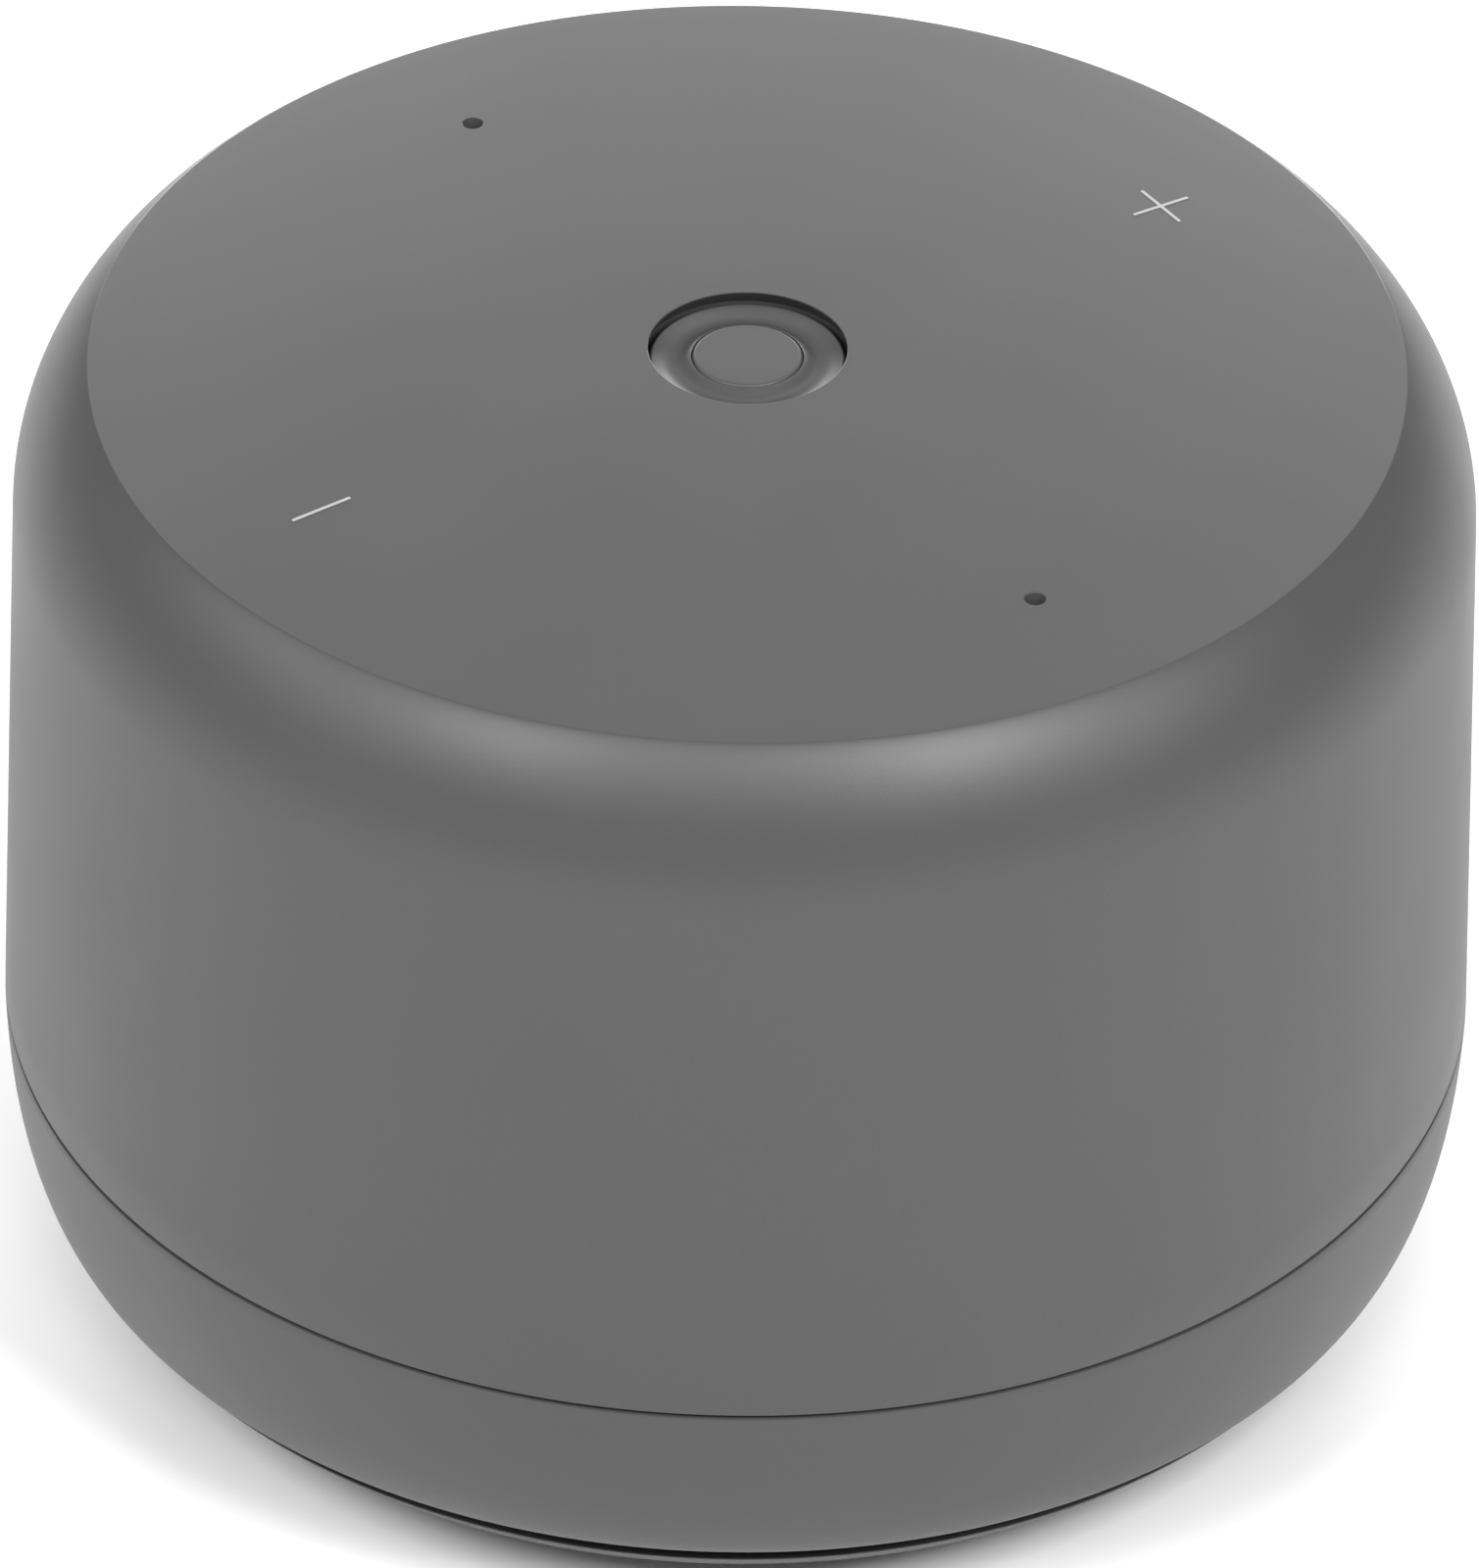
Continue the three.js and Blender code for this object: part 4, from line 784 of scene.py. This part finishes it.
# Nickel shines softly, and zinc is bluer and duller. Black nylon is nearly black with a soft
# shine, and natural nylon is a milky ivory.
steel = fine_metal("Drawn steel, nickel plated", "#b9babb", 0.3)
zinc = fine_metal("Zinc plated steel", "#c3c5c7", 0.38)
dark_plastic = moulded_plastic("Glass-filled nylon, black", "#1f1f20", 0.5)
ivory_plastic = moulded_plastic("Nylon, natural ivory", "#d9d4c4", 0.45)

# %% Power socket
SOCKET_WALL = 0.3
TONGUE_WIDTH = 6.7
TONGUE_THICK = 0.7


def power_socket():
    front, back = socket_high.y, socket_low.y
    inner_width, inner_height = PORT_WIDTH - 2 * SOCKET_WALL, PORT_HEIGHT - 2 * SOCKET_WALL
    shell = pushed("power_socket_shell", [
        (back, round_ended(PORT_WIDTH, PORT_HEIGHT)),
        (front - 0.1, round_ended(PORT_WIDTH, PORT_HEIGHT)),
        (front, round_ended(PORT_WIDTH - 0.12, PORT_HEIGHT - 0.12)),
    ], steel, PORT_Z)
    mouth = pushed("mouth_cutter", [
        (back + 1, round_ended(inner_width, inner_height)),
        (front - 0.12, round_ended(inner_width, inner_height)),
        (front + 0.3, round_ended(PORT_WIDTH - 0.1, PORT_HEIGHT - 0.1)),
    ], steel, PORT_Z)
    return cut(shell, [mouth])


socket_shell = power_socket()
socket_tongue = checked(pushed("power_socket_tongue", [
    (socket_low.y + 0.6, round_ended(TONGUE_WIDTH, TONGUE_THICK, 0.1, 3)),
    (socket_high.y - 0.8, round_ended(TONGUE_WIDTH, TONGUE_THICK, 0.1, 3)),
    (socket_high.y - 0.7, round_ended(TONGUE_WIDTH - 0.2, TONGUE_THICK - 0.2, 0.1, 3)),
], dark_plastic, PORT_Z))

# %% Mute slider
RIB_PITCH = 1.2
RIB_WIDTH = 0.5
RIB_HEIGHT = 1.8


def mute_slider():
    inner = POCKET_Y + GAP
    start = -SWITCH_TRAVEL / 2

    def slab(name, centre, width, height, radius, y_values):
        rings = [(y, [(x + centre, z) for x, z in round_ended(width - trim, height - trim, radius, 5)])
                 for y, trim in y_values]
        return pushed(name, rings, dark_plastic, SWITCH_Z, SWITCH_ANGLE)

    face = [(inner, 0.1), (inner + 0.1, 0), (inner + 0.72, 0), (inner + 0.86, 0.12), (inner + 0.9, 0.3)]
    ridge = [(inner + 0.8, 0), (inner + 1.03, 0), (inner + 1.1, 0.14)]
    knob = slab("mute_slider_knob", start, KNOB_WIDTH, KNOB_HEIGHT, 0.35, face)
    extras = [slab("stem", start, 2, 1.2, 0.1, [(POCKET_Y - 2.7, 0), (inner + 0.2, 0)])]
    for x in (-RIB_PITCH, 0, RIB_PITCH):
        extras.append(slab("rib", start + x, RIB_WIDTH, RIB_HEIGHT, 0.12, ridge))
    return union(knob, extras)


def union(piece, others):
    for other in others:
        weld = piece.modifiers.new("Weld", "BOOLEAN")
        weld.operation = "UNION"
        weld.object = other
        weld.solver = "EXACT"
    evaluated(piece)
    for other in others:
        bpy.data.objects.remove(other)
    piece.data.set_sharp_from_angle(angle=SHARP_ANGLE)
    return checked(piece)


slider_knob = mute_slider()

# %% [markdown]
# ## Geometry Nodes for what repeats
# Screws and bosses repeat, so a second tree puts copies of one template on points. A screw's point
# comes from the CAD box of that screw, which keeps it on its real axis. A boss's point is on a
# circle.

# %% The copying tree
def copying_tree():
    tree = bpy.data.node_groups.new("Copies on points", "GeometryNodeTree")
    face = tree.interface
    face.new_socket("Places", in_out="INPUT", socket_type="NodeSocketGeometry")
    template = face.new_socket("Template", in_out="INPUT", socket_type="NodeSocketObject")
    finish = face.new_socket("Material", in_out="INPUT", socket_type="NodeSocketMaterial")
    face.new_socket("Copies", in_out="OUTPUT", socket_type="NodeSocketGeometry")
    given = add_node(tree, "NodeGroupInput").outputs
    shape = add_node(tree, "GeometryNodeObjectInfo", links={"Object": given["Template"]})
    copies = add_node(tree, "GeometryNodeInstanceOnPoints",
                      links={"Points": given["Places"], "Instance": shape.outputs["Geometry"]})
    real = add_node(tree, "GeometryNodeRealizeInstances", links={0: copies.outputs[0]})
    coated = add_node(tree, "GeometryNodeSetMaterial",
                      links={"Geometry": real.outputs[0], "Material": given["Material"]})
    add_node(tree, "NodeGroupOutput", links={0: coated.outputs[0]})
    return tree, {"template": template.identifier, "material": finish.identifier}


copying, copying_inputs = copying_tree()


def copies(name, template, places, material):
    points = bpy.data.meshes.new(name)
    points.from_pydata([(x * MM, y * MM, 0) for x, y in places], [], [])
    piece = new_object(name, points)
    maker = piece.modifiers.new("Copies", "NODES")
    maker.node_group = copying
    maker[copying_inputs["template"]] = template
    maker[copying_inputs["material"]] = material
    evaluated(piece)
    bpy.data.objects.remove(template)
    return checked(piece)


# %% [markdown]
# ## Cross-head screws
# One function draws a thread-forming screw from its CAD box: pan head, cross recess, and a thread
# of sharp ridges. The thread is drawn as rings rather than as a helix. Nothing outside the
# speaker shows the difference, and rings stay closed.

# %% Screws
HEAD_RISE = 1.2
HEAD_REACH = 1.9
THREAD_PITCH = 0.5
THREAD_ROOT = 0.8


def screw_template(radius, length, seat, sense):
    """A screw whose head and thread are shares of its radius; sense is 1 where its tip points up."""
    head, wide, pitch = HEAD_RISE * radius, HEAD_REACH * radius, THREAD_PITCH * radius
    root = THREAD_ROOT * radius

    def level(distance):
        return seat + sense * distance

    profile = [(0, level(-head)), (0.72 * wide, level(-head)), (0.92 * wide, level(-0.88 * head)),
               (wide, level(-0.6 * head)), (wide, level(0)), (radius, level(0))]
    for i in range(int((length - head) / pitch)):
        profile += [(root, level((i + 0.35) * pitch)), (root, level((i + 0.65) * pitch)),
                    (radius, level((i + 1) * pitch))]
    profile += [(0.3 * radius, level(length)), (0, level(length))]
    screw = turned("screw", profile, zinc, sides=24)
    floor_z, top_z = sorted((level(-0.45 * head), level(-head - 1)))
    arm, blade = 0.6 * wide, 0.18 * wide
    blades = []
    for x, y in ((arm, blade), (blade, arm)):
        bar = [(side * y, [(-x, floor_z), (x, floor_z), (x, top_z), (-x, top_z)]) for side in (-1, 1)]
        blades.append(pushed("blade", bar, zinc, 0))
    return cut(screw, blades)


def screw_set(name, nodes, radius, sense):
    boxes = [mm(node) for node in nodes]
    low, high = boxes[0]
    seat = low.z + HEAD_RISE * radius if sense > 0 else high.z - HEAD_RISE * radius
    length = high.z - seat if sense > 0 else seat - low.z
    places = [((a.x + b.x) / 2, (a.y + b.y) / 2) for a, b in boxes]
    return copies(name, screw_template(radius, length, seat, sense), places, zinc)


def numbered(stem, count):
    return [f"{stem}_{i + 1}" for i in range(count)]


LARGE_SCREW_R = 1.3
SMALL_SCREW_R = 0.9
SCREW_SETS = [
    ("foot_screws", numbered("foot_screw", 3), LARGE_SCREW_R, 1),
    ("shell_screws", numbered("shell_screw", 3), LARGE_SCREW_R, 1),
    ("driver_screws", numbered("driver_screw", 4), SMALL_SCREW_R, -1),
    ("main_board_screws", numbered("main_board_screw", 2), SMALL_SCREW_R, -1),
    ("control_board_screws", numbered("control_board_screw", 3), SMALL_SCREW_R, 1),
]
screw_pieces = [(screw_set(*row), row[1]) for row in SCREW_SETS]

# %% [markdown]
# ## Bosses and seats under the top
# The top shell carries three long bosses that take the clamping screws, three posts for the upper
# board, and four round seats under the microphone holes and the touch marks.

# %% Bosses
def on_circle(radius, angles):
    return [(radius * math.cos(math.radians(a)), radius * math.sin(math.radians(a))) for a in angles]


board_high = mm("control_board")[1]
gasket_high = mm("mic_gasket_rear")[1]
under_top = WALL - 0.5


def boss(inner, outer, low, high):
    return turned("boss", [(inner, low), (outer, low), (outer, high), (inner, high)], shell_abs, sides=32)


BOSS_AT = 41.2
BOSS_BORE_R = 1.36
BOSS_R = 2.6
BOSS_LOW_Z = 14.8
BOSS_HIGH_Z = 33.8
POST_AT = 28
POST_BORE_R = 0.96
POST_R = 2.8
SEAT_R = 4.6
seat_top = crown(MARK_R) - under_top
bosses = [
    copies("shell_bosses", boss(BOSS_BORE_R, BOSS_R, BOSS_LOW_Z, BOSS_HIGH_Z),
           on_circle(BOSS_AT, (30, 150, 270)), shell_abs),
    copies("board_posts", boss(POST_BORE_R, POST_R, board_high.z, crown(POST_AT) - under_top),
           on_circle(POST_AT, (45, 165, 285)), shell_abs),
    copies("mic_seats", boss(MIC_HOLE_R, SEAT_R, gasket_high.z, seat_top - 0.2),
           on_circle(MARK_R, (90, 270)), shell_abs),
    copies("touch_seats", boss(0, SEAT_R, gasket_high.z, seat_top),
           on_circle(MARK_R, (0, 180)), shell_abs),
]

# %% [markdown]
# ## The driver
# The small loudspeaker is all turned pieces: a paper cone with its dust cap and voice coil, a
# half-round rubber edge, a corrugated cloth ring, and the ring magnet with its steel washer and
# yoke. All hang in a pressed basket. The pieces take their radii and heights from the CAD boxes.
# The cloth ring is made in two: a collar that moves with the coil, and a corrugated part that
# stays with the basket.

# %% Driver finishes
WAVE_PERIOD = 0.314


def banded(name, colour, dark, roughness, metallic, band, depth):
    """A finish with fine bands round the axis, as on wound wire, its colour darker in each groove and
    lighter on each crest as painted shade and highlight; WAVE_PERIOD is one band at scale 1.
    """
    material, tree, shader = new_material(name, colour, roughness, metallic=metallic)
    place = add_node(tree, "ShaderNodeTexCoord").outputs["Object"]
    bands = add_node(tree, "ShaderNodeTexWave", {"bands_direction": "Z"}, {"Scale": WAVE_PERIOD / band},
                     {"Vector": place})
    # Painted shade and highlight: the colour follows the bands' height, dark between the turns and light on
    # their crests.
    painted_groove_shade = add_node(tree, "ShaderNodeMix", {"data_type": "RGBA"}, {6: linear(dark), 7: linear(colour)},
                     {0: bands.outputs["Fac"]})
    bump = add_node(tree, "ShaderNodeBump", values={"Distance": depth},
                    links={"Height": bands.outputs["Fac"]})
    tree.links.new(painted_groove_shade.outputs[2], shader.inputs["Base Color"])
    tree.links.new(bump.outputs["Normal"], shader.inputs["Normal"])
    return material


# Paper and foam scatter all light, ferrite is a grainy dark grey, the coil's turns carry a painted
# highlight with painted shade between them, and the dipped cotton is a dull amber.
paper = moulded_plastic("Pressed paper pulp", "#3a3835", 0.9, pit_depth=0.03 * MM,
                        pit_spacing=0.5 * MM, tint=0.1)
ferrite = moulded_plastic("Sintered ferrite", "#303032", 0.6, pit_depth=0.01 * MM, pit_spacing=0.3 * MM)
wound_copper_painted_shade = banded("Enamelled copper wire, wound", "#b8703f", "#7a431f", 0.3, 1.0, 0.2 * MM, 0.03 * MM)
amber_cloth = moulded_plastic("Resin-dipped cotton cloth", "#b28a4a", 0.85, pit_depth=0.05 * MM,
                              pit_spacing=0.4 * MM, tint=0.15)
foam = moulded_plastic("Closed-cell foam", "#2c2c2c", 0.95, pit_depth=0.08 * MM,
                       pit_spacing=0.5 * MM, tint=0.2)

# %% Driver profiles
cone_low, cone_high = mm("cone")
coil_low, coil_high = mm("voice_coil")
cap_crest = mm("dust_cap")[0].z
rubber_low, rubber_high = mm("surround")
cloth_ring_low, cloth_ring_high = mm("spider")
washer_low, washer_high = mm("magnet_washer")
magnet_low, magnet_high = mm("ring_magnet")
yoke_low, yoke_high = mm("yoke")
COIL_R = 7.9
FORMER_R = COIL_R + 0.25
CONE_THICK = 0.45
CAP_THICK = 0.4
RUBBER_THICK = 0.4
WINDING_THICK = 0.45
HALF_WINDING = 2
COLLAR_GAP = 0.05
SPLIT_GAP = 0.1
ARC_STEPS = 24
DRIVER_SIDES = 96


def band(front, thick):
    return front + [(r, z + thick) for r, z in reversed(front)]


def cone_profile():
    neck_r, neck_z = FORMER_R + COLLAR_GAP, cone_high.z - CONE_THICK
    edge_r, edge_z = cone_high.x, cone_low.z
    front = curve((edge_r, edge_z), (edge_r - 4, edge_z + 1.6), (neck_r + 2.8, neck_z - 1.6),
                  (neck_r, neck_z), 24)
    return band(front, CONE_THICK)


def dust_cap_profile():
    front = curve((0, cap_crest), (4, cap_crest), (6.6, cap_crest + 1), (COIL_R + 0.1, cap_crest + 2.4), 20)
    return band(front, CAP_THICK)


def voice_coil_profile():
    middle = (washer_low.z + washer_high.z) / 2
    winding = FORMER_R + WINDING_THICK
    start, end = middle - HALF_WINDING, middle + HALF_WINDING
    return [(COIL_R, coil_low.z), (FORMER_R, coil_low.z), (FORMER_R, start), (winding, start),
            (winding, end), (FORMER_R, end), (FORMER_R, coil_high.z), (COIL_R, coil_high.z)]


def surround_profile():
    outer, inner = rubber_high.x - 1.2, cone_high.x + 0.2
    middle, radius, thick = (outer + inner) / 2, (outer - inner) / 2, RUBBER_THICK
    lip, cone_lip = rubber_low.z + radius + thick, cone_low.z - 0.05

    def arc(size):
        steps = [math.pi * k / ARC_STEPS for k in range(ARC_STEPS + 1)]
        return [(middle + size * math.cos(a), lip - thick - size * math.sin(a)) for a in steps]

    low = [(rubber_high.x, lip - thick)] + arc(radius)
    top = [(inner, cone_lip - thick), (cone_high.x - 1, cone_lip - thick), (cone_high.x - 1, cone_lip),
           (inner + thick, cone_lip)]
    return low + top + arc(radius - thick)[::-1] + [(outer - thick, lip), (rubber_high.x, lip)]


SPLIT_R = COIL_R + 2.8
SPIDER_THICK = 0.35
WAVES = 3
WAVE_HEIGHT = 0.28
WAVED_SHARE = 0.9
WAVE_STEPS = 48
spider_z = (cloth_ring_low.z + cloth_ring_high.z) / 2 - SPIDER_THICK / 2


def spider_collar_profile():
    return band([(FORMER_R + COLLAR_GAP, spider_z), (SPLIT_R - SPLIT_GAP, spider_z)], SPIDER_THICK)


def spider_profile():
    inner, outer = SPLIT_R + SPLIT_GAP, cloth_ring_high.x
    front = []
    for k in range(WAVE_STEPS + 1):
        share = k / WAVE_STEPS
        turn = 2 * math.pi * WAVES * share / WAVED_SHARE
        wave = 0 if share > WAVED_SHARE else WAVE_HEIGHT * math.sin(turn)
        front.append((inner + share * (outer - inner), spider_z + wave))
    return band(front, SPIDER_THICK)


def plate_profile(low, high, inner):
    edge = 0.25
    corners = [(inner, low.z), (high.x, low.z), (high.x, high.z), (inner, high.z)]
    return rounded(corners, {1: edge, 2: edge}, steps=3)


def yoke_profile():
    pole, base = COIL_R - 0.6, magnet_high.z
    corners = [(0, yoke_low.z), (pole, yoke_low.z), (pole, base), (yoke_high.x, base),
               (yoke_high.x, yoke_high.z), (0, yoke_high.z)]
    return rounded(corners, {1: 0.3, 4: 0.6}, steps=3)


def driver_piece(name, profile, material, body, slot, node):
    return checked(turned(name, profile, material, DRIVER_SIDES)), body, slot, node


washer_profile = plate_profile(washer_low, washer_high, COIL_R + 1.2)
magnet_profile = plate_profile(magnet_low, magnet_high, COIL_R + 2.6)
driver_pieces = [
    driver_piece("cone_paper", cone_profile(), paper, "driver_cone", "paper", "cone"),
    driver_piece("dust_cap_paper", dust_cap_profile(), paper, "driver_cone", "paper", "dust_cap"),
    driver_piece("voice_coil_winding", voice_coil_profile(), wound_copper_painted_shade, "driver_cone", "copper",
                 "voice_coil"),
    driver_piece("spider_collar", spider_collar_profile(), amber_cloth, "driver_cone", "woven_cloth",
                 "voice_coil"),
    driver_piece("spider_cloth", spider_profile(), amber_cloth, "body", "woven_cloth", "spider"),
    driver_piece("washer_plate", washer_profile, steel, "body", "steel", "magnet_washer"),
    driver_piece("magnet_ring", magnet_profile, ferrite, "body", "ferrite", "ring_magnet"),
    driver_piece("yoke_pot", yoke_profile(), zinc, "body", "zinc_plate", "yoke"),
]
surround_edge = checked(turned("surround_rubber", surround_profile(), rubber, DRIVER_SIDES))

# %% [markdown]
# ## Boards, wires and the other inner pieces
# The rest keeps its CAD mesh, which is right for boxes and flat boards, and takes a finish. The
# circuit board's finish is a green solder mask over faint copper traces. The traces are a coarse
# grid with 1.6 mm between its rows, since real ones are too fine to show.

# %% Circuit board
TRACE_PITCH = 1.6 * MM
TRACE_GAP = 0.1 * MM
TRACE_DEPTH = 0.03 * MM
MASK_GREEN = "#1b4a34"


def circuit_board():
    material, tree, shader = new_material("Glass epoxy, green solder mask", MASK_GREEN, 0.35)
    place = add_node(tree, "ShaderNodeTexCoord").outputs["Object"]
    cells = add_node(tree, "ShaderNodeTexBrick", {"offset": 0.5},
                     {"Scale": 1.0, "Color1": linear(MASK_GREEN), "Color2": linear("#1f5a3d"),
                      "Mortar": linear("#143b2a"), "Mortar Size": TRACE_GAP, "Brick Width": 4 * TRACE_PITCH,
                      "Row Height": TRACE_PITCH},
                     {"Vector": place})
    bump = add_node(tree, "ShaderNodeBump", values={"Distance": TRACE_DEPTH},
                    links={"Height": cells.outputs["Fac"]})
    tree.links.new(cells.outputs["Color"], shader.inputs["Base Color"])
    tree.links.new(bump.outputs["Normal"], shader.inputs["Normal"])
    return material


board_green = circuit_board()
# Bare foil is a warm, soft mirror. The wires' soft covers have the broad shine of flexible PVC.
copper_foil = fine_metal("Bare copper foil", "#b87a4b", 0.35)
red_wire = moulded_plastic("PVC wire cover, red", "#a32020", 0.45)
black_wire = moulded_plastic("PVC wire cover, black", "#151515", 0.45)

CARRIED = {
    rubber: ["mic_gasket_rear", "mic_gasket_front", "lead_grommet"],
    foam: ["speaker_box_seal", "driver_seal"],
    dark_plastic: ["speaker_box", "mute_switch_body", "tact_switch_body"],
    ivory_plastic: ["tact_plunger", "status_led", "speaker_socket", "ribbon_cable", "ribbon_socket_lower",
                    "ribbon_socket_upper"],
    board_green: ["control_board", "main_board"],
    amber_cloth: ["terminal_strip"],
    steel: ["driver_basket"],
    zinc: ["shield_can", "microphone_rear", "microphone_front"],
    copper_foil: ["touch_pad_plus", "touch_pad_minus"],
    red_wire: ["speaker_lead_red"],
    black_wire: ["speaker_lead_black"],
}
for material, names in CARRIED.items():
    for name in names:
        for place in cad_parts[name].material_slots:
            place.material = material
print("carried-over pieces:", sum(len(names) for names in CARRIED.values()))

# %% [markdown]
# ## Every piece but one rides on its body
# The rubber edge of the cone is not attached to a body: its place is baked into its mesh.

# %% Ride and replace
def stands_for(piece, body, slot, *nodes):
    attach(piece, body)
    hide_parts(*nodes)


stands_for(top_shell, "body", "matt_shell", "top_shell")
stands_for(base_bowl, "body", "matt_shell", "base_bowl")
stands_for(foot_plate, "body", "matt_shell", "foot_plate")
stands_for(rubber_foot, "body", "soft_rubber", "rubber_foot")
stands_for(slot_band, "body", "mesh_cloth", "slot_mesh")
stands_for(button_ring, "centre_button", "matt_shell", "button_cap")
stands_for(button_pad, "centre_button", "painted_lens", "button_lens")
stands_for(plus_print, "body", "ink", "plus_mark")
stands_for(minus_print, "body", "ink", "minus_mark")
stands_for(socket_shell, "body", "steel", "power_socket")
stands_for(socket_tongue, "body", "dark_plastic", "power_socket")
stands_for(slider_knob, "mute_switch", "dark_plastic", "mute_slider")
for piece, nodes in screw_pieces:
    stands_for(piece, "body", "zinc_plate", *nodes)
for piece in bosses:
    stands_for(piece, "body", "matt_shell", "top_shell")
for piece, body, slot, node in driver_pieces:
    stands_for(piece, body, slot, node)
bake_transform(surround_edge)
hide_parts("surround")

# %% [markdown]
# ## Floor and studio light
# A wide white floor and an even white surround give the clean, bright studio that satin plastic
# needs: its edges grow lighter by themselves, because plastic mirrors more at a grazing angle.
# Soft boxes stand all round. The three in front hang high, since a shoulder mirrors a high lamp
# near its crease, and the one at the front right is the brightest. Side boxes light the walls, two
# high ones behind light the top, and three low ones behind give it an even sheen.

# %% Floor, surround and lights
FLOOR_REACH = 6.0
LIT_POINT = Vector((0, 0, 35 * MM))


def plain_floor():
    sheet = bpy.data.meshes.new("floor")
    far = FLOOR_REACH
    sheet.from_pydata([(-far, -far, 0), (far, -far, 0), (far, far, 0), (-far, far, 0)], [], [(0, 1, 2, 3)])
    white = new_material("White paper floor", "#fafafa", 0.9)[0]
    sheet.materials.append(white)
    new_object("floor", sheet)


def surround(strength):
    world = bpy.data.worlds.new("Studio")
    bpy.context.scene.world = world
    world.use_nodes = True
    world.node_tree.nodes["Background"].inputs["Color"].default_value = (1, 1, 1, 1)
    world.node_tree.nodes["Background"].inputs["Strength"].default_value = strength


def soft_box(name, azimuth, elevation, distance, width, height, watts):
    """A lamp at an azimuth from the camera's own, facing the speaker; angles are in degrees."""
    a, e = math.radians(azimuth) + EYE_AZIMUTH, math.radians(elevation)
    aside = Vector((math.sin(a) * math.cos(e), -math.cos(a) * math.cos(e), math.sin(e)))
    lamp = bpy.data.lights.new(name, "AREA")
    lamp.shape = "RECTANGLE"
    lamp.size, lamp.size_y = width, height
    lamp.energy = watts
    holder = new_object(name, lamp)
    holder.location = LIT_POINT + aside * distance
    holder.rotation_euler = aside.to_track_quat("Z", "Y").to_euler()


SURROUND_STRENGTH = 0.3
SOFT_BOXES = [
    ("left_box", -90, 34, 0.7, 0.22, 0.28, 0.6),
    ("side_left_box", -65, 34, 0.7, 0.22, 0.28, 0.6),
    ("front_left_box", -39, 45, 0.7, 0.2, 0.26, 2.0),
    ("front_box", 0, 48, 0.7, 0.2, 0.24, 0.75),
    ("front_right_box", 38, 45, 0.7, 0.2, 0.26, 3.1),
    ("side_right_box", 65, 34, 0.7, 0.22, 0.28, 0.85),
    ("back_right_box", 150, 58, 0.7, 0.28, 0.28, 0.6),
    ("back_left_box", -150, 58, 0.7, 0.28, 0.28, 0.36),
    ("back_low_box_1", 165, 10, 0.6, 0.16, 0.2, 1.3),
    ("back_low_box_2", 180, 10, 0.6, 0.16, 0.2, 0.35),
    ("back_low_box_3", -165, 10, 0.6, 0.16, 0.2, 1.15),
]
plain_floor()
surround(SURROUND_STRENGTH)
for row in SOFT_BOXES:
    soft_box(*row)
